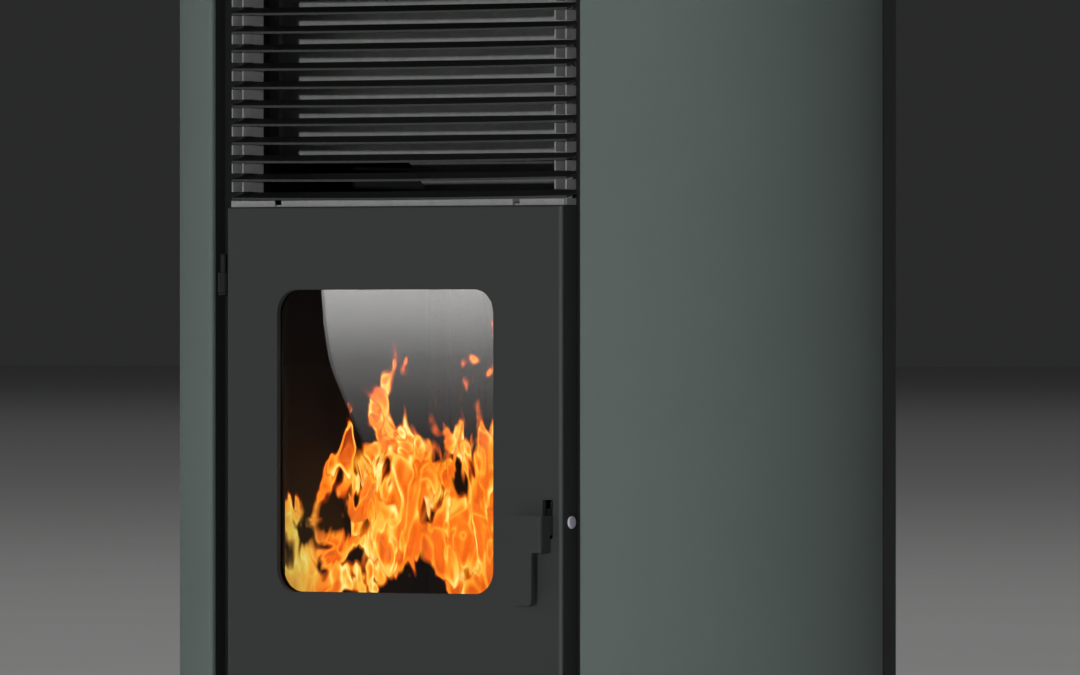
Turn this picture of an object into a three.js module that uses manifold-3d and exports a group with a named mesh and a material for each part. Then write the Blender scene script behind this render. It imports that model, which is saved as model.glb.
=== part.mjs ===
// Pellet stove: an oval steel casing round a welded firebox, fed from a hopper by a screw.
// Millimetres, +Z up, the front faces -Y. Shapes are drawn about the oval's centre line and the
// whole stove is then moved so that its origin lies at the centre of its footprint, on the floor.
import * as THREE from "three";
import { mergeVertices } from "three/addons/utils/BufferGeometryUtils.js";
import Module from "manifold-3d";

const wasm = await Module();
wasm.setup();
const degrees = Math.PI / 180;

// ---------------------------------------------------------------- driving dimensions
// casing plan
const bodyWidth = 615;
const sideRadius = 200;
const frontOpening = 368;
const rearWidth = 360;
const rearReach = 250;
const panelEndAngle = 112 * degrees;
const casingSheet = 1.5;
const panelReturn = 20;
const panelFlange = 14;
const gap = 0.3;
// levels
const footHeight = 24;
const footRadius = 20;
const basePlate = 3;
const casingTop = 1046;
const topPlate = 4;
// posts
const postWidth = 22;
const postDepth = 34;
const postSheet = 2;
// door
const doorWidth = 335.6;
const doorBottom = 340;
const doorHeight = 450;
const doorSheet = 5;
const doorDepth = 20;
const doorFold = 2.5;
const windowWidth = 217;
const windowHeight = 241;
const windowBottom = 483;
const windowShift = -8.4;
const windowRadius = 19;
const glassThickness = 4;
const glassLap = 6;
const clampSheet = 2;
const clampRim = 3.5;
const gasketWidth = 10;
const gasketSetIn = 24;
const gasketSeat = 7;
const gasketCorner = 14;
const pivotLug = 11;
// hinges
const hingeGap = 7.2;
const hingeSetBack = 5;
const knuckleRadius = 4.5;
const knuckleLength = 16;
const hingePinRadius = 2.5;
const hingeHeights = [384, 722];
// handle and latch
const handleStandOff = 14;
const handleSheet = 3;
const handleWidth = 33;
const handlePlateHeight = 29.2;
const handlePlateBelow = 24;
const gripWidth = 24;
const gripBelow = 65.6;
const gripCorner = 4;
const handleEdge = 157.6;
const pivotHeight = 540.4;
const pivotSetBack = 12.4;
const pivotRadius = 3;
const pivotHeadRadius = 5.5;
const hubRadius = 7;
const slotWidth = 10;
const slotBelow = 12.9;
const slotAbove = 17.6;
const slotInset = 8.6;
const latchReach = 31;
const catchBarRadius = 2.5;
const catchBarRise = 4;
const catchEar = 2;
const catchBarSetBack = 21;
const catchFoot = 9;
const catchDepth = 14;
const noseWidth = 5;
const armWidth = 6;
// firebox
const fireboxWidth = 272;
const fireboxDepth = 200;
const fireboxBottom = 344;
const fireboxTop = 788;
const fireboxWall = 3;
const fireOpeningWidth = 256;
const fireOpeningBottom = 366;
const fireOpeningTop = 770;
const gasketSqueeze = 4;
const fireBackThickness = 6;
const fireBackRib = 4;
const fireBackRibs = 7;
const fireBackRibWidth = 8;
const fireBackInset = 18;
const fireBackRise = 92;
const baffleHeight = 742;
const baffleThickness = 10;
const baffleDepth = 140;
// burn pot
const potWidth = 110;
const potDepth = 96;
const potTop = 462;
const potWall = 5;
const potSetBack = 92;
const potAirHole = 3;
const potHolesX = [-36, -18, 0, 18, 36];
const potHolesY = [-26, 0, 26];
const potSideHolesX = [-32, 0, 32];
const potFlare = 8;
const potRim = 12;
const holderHeight = 46;
const holderWall = 3;
const airHoleRadius = 14;
const igniterRadius = 5;
const igniterRise = 22;
// pellet feed
const augerRadius = 24;
const augerWall = 2;
const augerSlope = 65 * degrees;
const augerLength = 190;
const augerTopY = 85;
const augerTopZ = 600;
const augerPitch = 40;
const flightRadius = 22;
const flightThickness = 3;
const augerShaftRadius = 8;
const gearBox = 52;
const gearBoxLength = 74;
const gearMotorRadius = 21;
const gearMotorReach = 14;
const chuteWidth = 60;
const chuteWall = 2;
const chuteDepth = 56;
const chuteRise = 34;
const chuteHoleBottom = 505;
const chuteHoleHeight = 62;
// hopper
const hopperWidth = 300;
const hopperSheet = 1.5;
const hopperBehind = 18;
const hopperShoulder = 905;
const hopperWaist = 800;
const hopperWaistY = 60;
const throatWidth = 56;
const throatFront = 150;
const throatRear = 206;
const throatHeight = 560;
const throatNeck = 16;
const hopperMouthWidth = 280;
const hopperMouthFront = 20;
const hopperMouthInset = 20;
// grille
const slatCount = 12;
const slatPitch = 14.8;
const slatThickness = 2;
const slatLength = 336;
const slatDepth = 21.3;
const slatBow = 5;
const slatTilt = 12 * degrees;
const slatSetBack = 6.7;
const firstSlat = 796;
const combInset = 12;
const combSheet = 1.2;
const combDepth = 26;
const notchHeight = 7;
const sillLip = 4.7;
const sillNotch = 7;
const sillNotchAt = 119.5;
const shieldDepth = 135;
const shieldBottom = 830;
const shieldTop = 1030;
const shieldWidth = 434;
const shieldWing = 28;
const shieldJoggle = 5;
const shieldSheet = 1.5;
// front covers
const coverGap = 6;
const coverSheet = 1.5;
const coverFold = 18;
const drawerFrontHeight = 92;
const fingerNotchWidth = 90;
const fingerNotchDepth = 12;
// ash drawer
const drawerWidth = 250;
const drawerDepth = 180;
const drawerHeight = 74;
const drawerSheet = 1.5;
const drawerSideGap = 4;
const ashBoxSheet = 2;
// fans and pipes
const smokeFanX = -80;
const fanY = 130;
const smokeFanZ = 132;
const smokeFanWidth = 70;
const scrollRadius = 72;
const fanFlange = 45;
const outletHeight = 66;
const fanSheet = 2;
const outletEnd = 212.7;
const intakeRadius = 30;
const impellerRadius = 58;
const impellerBlades = 10;
const impellerWidth = 34;
const impellerHub = 12;
const bladeThickness = 2;
const smokeDuctWidth = 50;
const smokeDuctHalf = 44;
const smokeDuctNeck = 42;
const fanShaftRadius = 5;
const fanMotorRadius = 38;
const fanMotorLength = 68;
const flueRadius = 40;
const flueReach = 300;
const flueClearance = 2;
const pipeWall = 1.5;
const roomFanStart = 20;
const roomFanLength = 146;
const roomFanZ = 104;
const legWidth = 16;
const rotorRadius = 32;
const rotorBlades = 16;
const roomFanShell = 14;
const roomFanThroat = 62;
const roomMotorRadius = 30;
const roomMotorLength = 40;
const airPipeRadius = 25;
const airPipeX = 60;
const airPipeZ = 214;
const airPipeReach = 290;
const airPipeStart = 186;
const airCollar = 9;
// rear electrics
const inletX = 140;
const inletZ = 78;
const inletPlate = [34, 56];
const inletBody = [28, 50];
const inletDepth = 26;
const socketDepth = 16;
const rockerRise = 13;
const rockerPin = 1.5;
const louvreRows = 7;
const louvrePitch = 22;
const louvreHeight = 6;
const louvreLength = 90;
const louvreX = 95;
const louvreBottom = 320;
// lid and control
const lidSheet = 3;
const lidLap = 10;
const lidPinRadius = 2.5;
const lidKnuckle = 5;
const lidLip = 12;
const lidLipLength = 120;
const lidPinBehind = 9;
const lugAt = 105;
const lugLength = 24;
const knuckleAt = 70;
const lidKnuckleLength = 28;
const controlWidth = 124;
const controlDepth = 54;
const controlY = -105;
const controlRim = 3;
const controlCap = 1.5;
const controlDrop = 18;
// feet
const footX = [170, 160];
const frontFootY = -120;
const rearFootInset = 60;

// ---------------------------------------------------------------- derived places
const arcX = bodyWidth / 2 - sideRadius;
const frontAngle = Math.asin((frontOpening / 2 - arcX) / sideRadius);
const frontY = -sideRadius * Math.cos(frontAngle);
const baseTop = footHeight + basePlate;
const stoveTop = casingTop + topPlate;
const doorTop = doorBottom + doorHeight;
const doorHalf = doorWidth / 2;
const postInner = doorHalf + 0.5;
const postFront = frontY + panelReturn + gap;
const windowX = [windowShift - windowWidth / 2, windowShift + windowWidth / 2];
const hingeX = -(doorHalf + hingeGap);
const hingeY = frontY + hingeSetBack;
const pivotY = frontY + pivotSetBack;
const handlePlateBottom = pivotHeight - handlePlateBelow;
const gripBottom = pivotHeight - gripBelow;
const slotX0 = handleEdge - slotInset;
const slotBottom = pivotHeight - slotBelow;
const slotTop = pivotHeight + slotAbove;
const catchBarZ = pivotHeight + catchBarRise;
const noseTop = catchBarZ - catchBarRadius - 0.5;
const flangeFront = frontY + doorDepth + gasketSqueeze;
const fireboxRear = flangeFront + fireboxDepth;
const potY = flangeFront + potSetBack;
const igniterZ = fireboxBottom + fireboxWall + igniterRise;
const smokeDuctX = [
  smokeFanX + smokeFanWidth / 2 + gap, smokeFanX + smokeFanWidth / 2 + smokeDuctWidth,
];
const smokeOutletZ = smokeFanZ + scrollRadius - outletHeight / 2 - fanSheet;
const augerLowY = augerTopY + augerLength * Math.cos(augerSlope);
const augerLowZ = augerTopZ - augerLength * Math.sin(augerSlope);
const hopperRear = rearReach - hopperBehind;
const hopperMouthRear = hopperRear - hopperMouthInset;
const lidPinY = hopperMouthRear + lidLap + lidPinBehind;
const lidPinZ = stoveTop + lidKnuckle + 0.6;
const rockerZ = inletZ + rockerRise;
const rockerY = rearReach - 3;
const shieldY = frontY + shieldDepth;
const grilleTop = firstSlat + slatCount * slatPitch;
const drawerFrontTop = doorBottom - coverGap;
const drawerFrontBottom = drawerFrontTop - drawerFrontHeight;
const ashBoxBottom = drawerFrontBottom + 4;
const originY = (flueReach + frontY - handleStandOff) / 2;

// ---------------------------------------------------------------- materials
const paint = (color, roughness, metalness) =>
  new THREE.MeshStandardMaterial({ color, roughness, metalness });
const greenPaint = paint(0x58615e, 0.5, 0.2);
const anthracite = paint(0x383a39, 0.5, 0.3);
const blackPaint = paint(0x191a19, 0.6, 0.3);
const castIron = paint(0x1c1c1c, 0.8, 0.6);
const galvanised = paint(0x8a8c8b, 0.4, 0.9);
const bareSteel = paint(0x9b9d9f, 0.35, 1);
const rubber = paint(0x151515, 0.9, 0);
const glassSheet = new THREE.MeshStandardMaterial({
  color: 0x111111, roughness: 0.05, metalness: 0, transparent: true, opacity: 0.35,
});
const rope = paint(0x2a2a28, 0.95, 0);
const firebrick = paint(0xb9ab8c, 0.9, 0);
const blackPlastic = paint(0x141414, 0.5, 0);
const displayGlass = paint(0x080808, 0.1, 0);

// ---------------------------------------------------------------- solids
function toSolid(geometry) {
  const bare = geometry.clone();
  bare.deleteAttribute("normal");
  bare.deleteAttribute("uv");
  const merged = mergeVertices(bare, 1e-4);
  return new wasm.Manifold(new wasm.Mesh({
    numProp: 3,
    vertProperties: new Float32Array(merged.attributes.position.array),
    triVerts: new Uint32Array(merged.index.array),
  }));
}

function toGeometry(solid) {
  const mesh = solid.getMesh();
  const geometry = new THREE.BufferGeometry();
  geometry.setAttribute("position", new THREE.BufferAttribute(new Float32Array(mesh.vertProperties), 3));
  geometry.setIndex(new THREE.BufferAttribute(new Uint32Array(mesh.triVerts), 1));
  geometry.computeVertexNormals();
  return geometry;
}

function join(...geometries) {
  return toGeometry(geometries.map(toSolid).reduce((whole, next) => whole.add(next)));
}

function cut(geometry, ...tools) {
  return toGeometry(tools.map(toSolid).reduce((whole, tool) => whole.subtract(tool), toSolid(geometry)));
}

// ---------------------------------------------------------------- building blocks
// A block given by its lowest and highest X, Y and Z.
function block([x0, x1], [y0, y1], [z0, z1]) {
  const geometry = new THREE.BoxGeometry(x1 - x0, y1 - y0, z1 - z0);
  return geometry.translate((x0 + x1) / 2, (y0 + y1) / 2, (z0 + z1) / 2);
}

// A round bar along X, Y or Z, from one end to the other, with its axis through (a, b).
function bar(axis, radius, [from, to], [a, b], segments = 16) {
  const geometry = new THREE.CylinderGeometry(radius, radius, to - from, segments);
  const middle = (from + to) / 2;
  if (axis === "x") return geometry.rotateZ(-Math.PI / 2).translate(middle, a, b);
  if (axis === "y") return geometry.translate(a, middle, b);
  return geometry.rotateX(Math.PI / 2).translate(a, b, middle);
}

// A plan outline in X and Y, raised from z0 to z1.
function raise(shape, [z0, z1], curveSegments = 14) {
  const options = { depth: z1 - z0, bevelEnabled: false, curveSegments };
  return new THREE.ExtrudeGeometry(shape, options).translate(0, 0, z0);
}

// A side outline in Y and Z, drawn out from x0 to x1.
function drawX(shape, [x0, x1], curveSegments = 12) {
  const options = { depth: x1 - x0, bevelEnabled: false, curveSegments };
  const basis = new THREE.Matrix4().makeBasis(
    new THREE.Vector3(0, 1, 0), new THREE.Vector3(0, 0, 1), new THREE.Vector3(1, 0, 0));
  return new THREE.ExtrudeGeometry(shape, options).applyMatrix4(basis).translate(x0, 0, 0);
}

// A front outline in X and Z, drawn out from y0 to y1.
function drawY(shape, [y0, y1], curveSegments = 4) {
  const options = { depth: y1 - y0, bevelEnabled: false, curveSegments };
  const basis = new THREE.Matrix4().makeBasis(
    new THREE.Vector3(1, 0, 0), new THREE.Vector3(0, 0, 1), new THREE.Vector3(0, -1, 0));
  return new THREE.ExtrudeGeometry(shape, options).applyMatrix4(basis).translate(0, y1, 0);
}

function polygon(points) {
  return new THREE.Shape(points.map(([a, b]) => new THREE.Vector2(a, b)));
}

function roundedRectangle([a0, a1], [b0, b1], radius) {
  const shape = new THREE.Shape();
  shape.moveTo(a0 + radius, b0);
  shape.lineTo(a1 - radius, b0);
  shape.absarc(a1 - radius, b0 + radius, radius, -Math.PI / 2, 0, false);
  shape.lineTo(a1, b1 - radius);
  shape.absarc(a1 - radius, b1 - radius, radius, 0, Math.PI / 2, false);
  shape.lineTo(a0 + radius, b1);
  shape.absarc(a0 + radius, b1 - radius, radius, Math.PI / 2, Math.PI, false);
  shape.lineTo(a0, b0 + radius);
  shape.absarc(a0 + radius, b0 + radius, radius, Math.PI, Math.PI * 1.5, false);
  return shape;
}

// A solid through level rectangles, each {z, x: [low, high], y: [low, high]}, lowest first.
function loft(levels) {
  const positions = [];
  const index = [];
  for (const { z, x, y } of levels) {
    positions.push(x[0], y[0], z, x[1], y[0], z, x[1], y[1], z, x[0], y[1], z);
  }
  index.push(0, 2, 1, 0, 3, 2);
  for (let level = 0; level + 1 < levels.length; level += 1) {
    for (let corner = 0; corner < 4; corner += 1) {
      const a = level * 4 + corner;
      const b = level * 4 + ((corner + 1) % 4);
      index.push(a, b, b + 4, a, b + 4, a + 4);
    }
  }
  const top = (levels.length - 1) * 4;
  index.push(top, top + 1, top + 2, top, top + 2, top + 3);
  const geometry = new THREE.BufferGeometry();
  geometry.setAttribute("position", new THREE.Float32BufferAttribute(positions, 3));
  geometry.setIndex(index);
  return geometry;
}

const mirrored = (geometry) => {
  const solid = toSolid(geometry);
  return toGeometry(solid.mirror([1, 0, 0]));
};

const stove = new THREE.Group();
const body = new THREE.Group();
body.position.y = -originY;
stove.add(body);

function add(name, geometry, material) {
  const mesh = new THREE.Mesh(geometry, material);
  mesh.name = name;
  body.add(mesh);
  return mesh;
}

// ---------------------------------------------------------------- casing
// Half-plan point on the side arc, at an angle from the front, a depth inside the skin.
function arcPoint(angle, depth = 0) {
  const radius = sideRadius - depth;
  return [arcX + radius * Math.sin(angle), -radius * Math.cos(angle)];
}

function bodyOutline() {
  const end = arcPoint(panelEndAngle);
  const shape = new THREE.Shape();
  shape.moveTo(-frontOpening / 2, frontY);
  shape.lineTo(frontOpening / 2, frontY);
  shape.absarc(arcX, 0, sideRadius, frontAngle - Math.PI / 2, panelEndAngle - Math.PI / 2, false);
  shape.lineTo(rearWidth / 2, rearReach);
  shape.lineTo(-rearWidth / 2, rearReach);
  shape.lineTo(-end[0], end[1]);
  shape.absarc(-arcX, 0, sideRadius, Math.PI * 1.5 - panelEndAngle, Math.PI * 1.5 - frontAngle, false);
  return shape;
}

function makeSidePanel() {
  const inner = sideRadius - casingSheet;
  const returnX = frontOpening / 2;
  const innerAngle = Math.asin((returnX + casingSheet - arcX) / inner);
  const flangeStep = casingSheet / inner;
  const shape = new THREE.Shape();
  shape.moveTo(returnX, frontY + panelReturn);
  shape.lineTo(returnX, frontY);
  shape.absarc(arcX, 0, sideRadius, frontAngle - Math.PI / 2, panelEndAngle - Math.PI / 2, false);
  shape.lineTo(...arcPoint(panelEndAngle, panelFlange));
  shape.lineTo(...arcPoint(panelEndAngle - flangeStep, panelFlange));
  shape.absarc(arcX, 0, inner, panelEndAngle - flangeStep - Math.PI / 2, innerAngle - Math.PI / 2, true);
  shape.lineTo(returnX + casingSheet, frontY + panelReturn);
  return raise(shape, [baseTop + gap, casingTop - gap], 22);
}

function makeRearCasing() {
  const [endX, endY] = arcPoint(panelEndAngle);
  const normal = new THREE.Vector2(Math.cos(panelEndAngle), Math.sin(panelEndAngle));
  const start = new THREE.Vector2(endX, endY).addScaledVector(normal, gap);
  const inward = new THREE.Vector2(-Math.sin(panelEndAngle), Math.cos(panelEndAngle));
  const lip = start.clone().addScaledVector(inward, panelFlange);
  const lipBack = lip.clone().addScaledVector(normal, casingSheet);
  const side = new THREE.Vector2(rearWidth / 2 - start.x, rearReach - start.y).normalize();
  const across = new THREE.Vector2(-side.y, side.x);
  const insideCorner = start.clone()
    .addScaledVector(across, casingSheet)
    .addScaledVector(side, casingSheet);
  const backX = rearWidth / 2 - casingSheet * 0.75;
  const half = [[start.x, start.y], [rearWidth / 2, rearReach]];
  const insideHalf = [
    [backX, rearReach - casingSheet], [insideCorner.x, insideCorner.y],
    [lipBack.x, lipBack.y], [lip.x, lip.y],
  ];
  const flip = (points) => points.map(([x, y]) => [-x, y]).reverse();
  const outline = [...half, ...flip(half), ...flip(insideHalf), ...insideHalf];
  const skin = raise(polygon(outline), [baseTop + gap, casingTop - gap]);
  const through = [rearReach - 10, rearReach + 10];
  const [plateWidth, plateHeight] = inletBody;
  const tools = [
    bar("y", flueRadius + flueClearance, through, [smokeFanX, smokeOutletZ], 28),
    bar("y", airPipeRadius + 1.5, through, [airPipeX, airPipeZ], 20),
    block([inletX - plateWidth / 2 - gap, inletX + plateWidth / 2 + gap], through,
      [inletZ - plateHeight / 2 - gap, inletZ + plateHeight / 2 + gap]),
  ];
  for (const column of [-louvreX, louvreX]) {
    for (let row = 0; row < louvreRows; row += 1) {
      const z = louvreBottom + row * louvrePitch;
      const x = [column - louvreLength / 2, column + louvreLength / 2];
      tools.push(block(x, through, [z, z + louvreHeight]));
    }
  }
  return cut(skin, ...tools);
}

function makeTopPlate() {
  const plate = raise(bodyOutline(), [casingTop, stoveTop], 22);
  const lugs = [-1, 1].map((side) => {
    const x = [side * lugAt - lugLength / 2, side * lugAt + lugLength / 2];
    const foot = block(x, [lidPinY - 4, lidPinY + 4], [stoveTop - 1, lidPinZ]);
    return join(foot, bar("x", lidKnuckle, x, [lidPinY, lidPinZ]));
  });
  const mouth = block([-hopperMouthWidth / 2, hopperMouthWidth / 2],
    [hopperMouthFront, hopperMouthRear], [casingTop - 5, stoveTop + 5]);
  const across = controlWidth / 2 - controlRim + gap;
  const deep = controlDepth / 2 - controlRim + gap;
  const control = block([-across, across], [controlY - deep, controlY + deep],
    [casingTop - 5, stoveTop + 5]);
  return join(cut(join(plate, ...lugs), mouth, control), makeLidPin());
}

function makeHopperLid() {
  const half = hopperMouthWidth / 2 + lidLap;
  const bottom = stoveTop + gap;
  const front = hopperMouthFront - lidLap;
  const rear = hopperMouthRear + lidLap;
  const plate = block([-half, half], [front, rear], [bottom, bottom + lidSheet]);
  const lip = block([-lidLipLength / 2, lidLipLength / 2], [front, front + lidSheet],
    [bottom + lidSheet / 2, bottom + lidLip]);
  const spans = [-knuckleAt, knuckleAt].map((centre) =>
    [centre - lidKnuckleLength / 2, centre + lidKnuckleLength / 2]);
  const knuckles = spans.map((x) => {
    const strap = block(x, [rear - 2, lidPinY], [bottom + 0.5, bottom + 0.5 + lidSheet]);
    return join(strap, bar("x", lidKnuckle, x, [lidPinY, lidPinZ]));
  });
  const bores = spans.map(([low, high]) =>
    bar("x", lidPinRadius + gap, [low - 1, high + 1], [lidPinY, lidPinZ], 16));
  return cut(join(plate, lip, ...knuckles), ...bores);
}

function makeLidPin() {
  const reach = lugAt + lugLength / 2 + 1;
  return bar("x", lidPinRadius, [-reach, reach], [lidPinY, lidPinZ], 16);
}

// ---------------------------------------------------------------- feet and posts
function makeFoot() {
  const profile = [
    [0, 0], [footRadius + 2, 0], [footRadius + 2, 5], [footRadius, 8], [9, 10], [9, footHeight - gap],
    [0, footHeight - gap],
  ].map(([r, z]) => new THREE.Vector2(r, z));
  return new THREE.LatheGeometry(profile, 16).rotateX(Math.PI / 2);
}

function makePost() {
  const x0 = postInner;
  const x1 = postInner + postWidth;
  const y0 = postFront;
  const y1 = postFront + postDepth;
  const t = postSheet;
  const section = polygon([
    [x0, y0], [x1, y0], [x1, y1], [x1 - t, y1], [x1 - t, y0 + t],
    [x0 + t, y0 + t], [x0 + t, y1], [x0, y1],
  ]);
  return raise(section, [baseTop + gap, casingTop - gap]);
}

function makeHingePost() {
  const lugs = hingeHeights.map((z) => {
    const span = [z, z + knuckleLength];
    const arm = block([hingeX - knuckleRadius, hingeX + knuckleRadius], [hingeY, postFront + 1], span);
    return join(arm, bar("z", knuckleRadius, span, [hingeX, hingeY]));
  });
  const bores = hingeHeights.map((z) =>
    bar("z", hingePinRadius + gap, [z - 1, z + knuckleLength + 1], [hingeX, hingeY], 16));
  return cut(join(mirrored(makePost()), ...lugs), ...bores);
}

function makeHingePin() {
  const shank = bar("z", hingePinRadius, [-gap - 1, knuckleLength * 2 - 1], [0, 0], 16);
  const head = bar("z", knuckleRadius - 0.3, [-gap - 2.3, -gap], [0, 0], 16);
  return join(shank, head);
}

// ---------------------------------------------------------------- door
const doorTray = ([x0, x1], [z0, z1], sheet, fold, depth) => {
  const solid = block([x0, x1], [frontY, frontY + depth], [z0, z1]);
  const hollow = block([x0 + fold, x1 - fold], [frontY + sheet, frontY + depth + 1],
    [z0 + fold, z1 - fold]);
  return cut(solid, hollow);
};

const gasketRing = (grow) => ({
  x: [-doorHalf + gasketSetIn - grow, doorHalf - gasketSetIn + grow],
  z: [fireOpeningBottom - gasketWidth - 4 - grow, fireOpeningTop + gasketWidth + 4 + grow],
});

function frameRing(outer, inner, depth, radius) {
  const [y0, y1] = depth;
  const solid = drawY(roundedRectangle(outer.x, outer.z, radius), depth);
  const hole = drawY(roundedRectangle(inner.x, inner.z, Math.max(radius - 4, 2)), [y0 - 1, y1 + 1]);
  return cut(solid, hole);
}

function makeDoorLeaf() {
  const tray = doorTray([-doorHalf, doorHalf], [doorBottom, doorTop], doorSheet, doorFold, doorDepth);
  const seat = frameRing(gasketRing(0), gasketRing(-gasketWidth),
    [frontY + doorSheet - 1, frontY + doorSheet + gasketSeat], gasketCorner);
  const lug = block([slotX0 - 4, slotX0 - 1], [frontY + doorSheet - 1, frontY + doorDepth],
    [pivotHeight - pivotLug, pivotHeight + pivotLug]);
  const knuckles = hingeHeights.map((z) => {
    const low = z + knuckleLength + gap;
    const arm = block([hingeX, -doorHalf + 1], [hingeY - 2.5, hingeY + 2.5], [low, low + knuckleLength]);
    return join(arm, bar("z", knuckleRadius, [low, low + knuckleLength], [hingeX, hingeY]));
  });
  const windowZ = [windowBottom, windowBottom + windowHeight];
  const window = drawY(roundedRectangle(windowX, windowZ, windowRadius),
    [frontY - 1, frontY + doorSheet + 1]);
  const slot = block([slotX0, slotX0 + slotWidth], [frontY - 1, frontY + doorSheet + 1],
    [slotBottom, slotTop]);
  const pivot = bar("x", pivotRadius + gap, [slotX0 - 5, doorHalf + 1], [pivotY, pivotHeight], 16);
  const bores = hingeHeights.map((z) =>
    bar("z", hingePinRadius + gap, [z + knuckleLength - 1, z + knuckleLength * 2 + 2],
      [hingeX, hingeY], 16));
  return cut(join(tray, seat, lug, ...knuckles), window, slot, pivot, ...bores);
}

const windowSpan = (grow) => ({
  x: [windowX[0] - grow, windowX[1] + grow],
  z: [windowBottom - grow, windowBottom + windowHeight + grow],
});

function makeDoorGlass() {
  const span = windowSpan(glassLap);
  return drawY(roundedRectangle(span.x, span.z, windowRadius),
    [frontY + doorSheet + gap, frontY + doorSheet + gap + glassThickness]);
}

function makeGlassClamp() {
  const glassBack = frontY + doorSheet + 2 * gap + glassThickness;
  const outer = windowSpan(glassLap + gap + clampRim);
  const body = drawY(roundedRectangle(outer.x, outer.z, windowRadius + clampRim),
    [frontY + doorSheet + gap, glassBack + clampSheet]);
  const pocketSpan = windowSpan(glassLap + gap);
  const pocket = drawY(roundedRectangle(pocketSpan.x, pocketSpan.z, windowRadius), [frontY, glassBack]);
  const viewSpan = windowSpan(0);
  const view = drawY(roundedRectangle(viewSpan.x, viewSpan.z, windowRadius), [frontY, glassBack + 10]);
  return cut(body, pocket, view);
}

function makeDoorGasket() {
  return frameRing(gasketRing(0), gasketRing(-gasketWidth),
    [frontY + doorSheet + gasketSeat + gap, flangeFront - gap], gasketCorner);
}

// The lever is one folded plate: a grip in front, a side plate through the slot, a nose behind.
function makeDoorHandle() {
  const front = frontY - handleStandOff;
  const left = handleEdge - handleWidth;
  const plateTop = handlePlateBottom + handlePlateHeight;
  const grip = new THREE.Shape();
  grip.moveTo(left, plateTop);
  const low = gripBottom + gripCorner;
  grip.lineTo(left, low);
  grip.absarc(left + gripCorner, low, gripCorner, Math.PI, Math.PI * 1.5, false);
  grip.absarc(left + gripWidth - gripCorner, low, gripCorner, Math.PI * 1.5, Math.PI * 2, false);
  grip.lineTo(left + gripWidth, handlePlateBottom);
  grip.lineTo(handleEdge, handlePlateBottom);
  grip.lineTo(handleEdge, plateTop);
  const face = drawY(grip, [front, front + handleSheet]);
  const armBottom = pivotHeight - 8;
  const side = drawX(polygon([
    [front, handlePlateBottom], [frontY - 1.5, handlePlateBottom], [frontY - 1.5, pivotHeight - 10],
    [pivotY, pivotHeight - 10], [pivotY + 6, armBottom], [pivotY + latchReach, armBottom],
    [pivotY + latchReach, noseTop], [pivotY + latchReach - noseWidth, noseTop],
    [pivotY + latchReach - noseWidth, armBottom + armWidth], [pivotY + 8, armBottom + armWidth],
    [pivotY, plateTop], [front, plateTop],
  ]), [handleEdge - handleSheet, handleEdge]);
  const hub = bar("x", hubRadius, [handleEdge - handleSheet - 1.5, handleEdge],
    [pivotY, pivotHeight], 24);
  const bore = bar("x", pivotRadius + gap, [handleEdge - 10, handleEdge + 1], [pivotY, pivotHeight], 16);
  return cut(join(face, side, hub), bore);
}

function makeHandlePin() {
  const shank = bar("x", pivotRadius, [slotX0 - 4.5, doorHalf + 1], [pivotY, pivotHeight], 16);
  const head = bar("x", pivotHeadRadius, [doorHalf + gap, doorHalf + gap + 1.6],
    [pivotY, pivotHeight], 24);
  return join(shank, head);
}

function makeLatchCatch() {
  const back = flangeFront + fireboxWall + gap;
  const z = [catchBarZ - catchEar * 4, catchBarZ + catchEar * 4];
  const ear = (x) => block([x, x + catchEar], [back, back + catchDepth], z);
  const foot = (x0, x1) => block([x0, x1], [back, back + catchEar], z);
  const left = slotX0 + 0.5;
  const right = slotX0 + slotWidth + 1.5;
  const across = bar("x", catchBarRadius, [left + 1, right + 1],
    [pivotY + catchBarSetBack, catchBarZ], 16);
  return join(foot(left - catchFoot, left + 1), ear(left), across, ear(right),
    foot(right + 1, right + catchFoot - catchEar));
}

// ---------------------------------------------------------------- firebox
function makeFirebox() {
  const half = fireboxWidth / 2;
  const w = fireboxWall;
  const shell = block([-half, half], [flangeFront, fireboxRear], [fireboxBottom, fireboxTop]);
  const flange = block([-doorHalf + gap, doorHalf - gap], [flangeFront, flangeFront + w],
    [fireboxBottom - 2, fireboxTop]);
  const hollow = block([-half + w, half - w], [flangeFront + w, fireboxRear - w],
    [fireboxBottom + w, fireboxTop - w]);
  const mouth = block([-fireOpeningWidth / 2, fireOpeningWidth / 2],
    [flangeFront - 1, flangeFront + w + 1], [fireOpeningBottom, fireOpeningTop]);
  const latchHole = block([slotX0 - 1, slotX0 + slotWidth + 4],
    [flangeFront - 1, flangeFront + w + 1], [pivotHeight - 26, pivotHeight + 16]);
  const chuteHole = block([-chuteWidth / 2, chuteWidth / 2], [fireboxRear - w - 1, fireboxRear + 1],
    [chuteHoleBottom, chuteHoleBottom + chuteHoleHeight]);
  const smokeHole = block([smokeDuctX[0] + 8, smokeDuctX[1] - 8],
    [fireboxRear - w - 1, fireboxRear + 5], [fireboxBottom + 16, fireboxBottom + 76]);
  const ashHoles = [-1, 1].map((side) => {
    const inner = side * (potWidth / 2 + holderWall + 8);
    const outer = side * (half - w - 6);
    return block([Math.min(inner, outer), Math.max(inner, outer)],
      [flangeFront + 14, fireboxRear - 50], [fireboxBottom - 1, fireboxBottom + w + 1]);
  });
  const airHole = bar("z", airHoleRadius, [fireboxBottom - 1, fireboxBottom + w + 1], [0, potY], 20);
  const box = cut(join(shell, flange), hollow, mouth, latchHole, chuteHole, ...ashHoles, airHole);
  return cut(join(box, makeSmokeDuct()), smokeHole);
}

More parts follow.
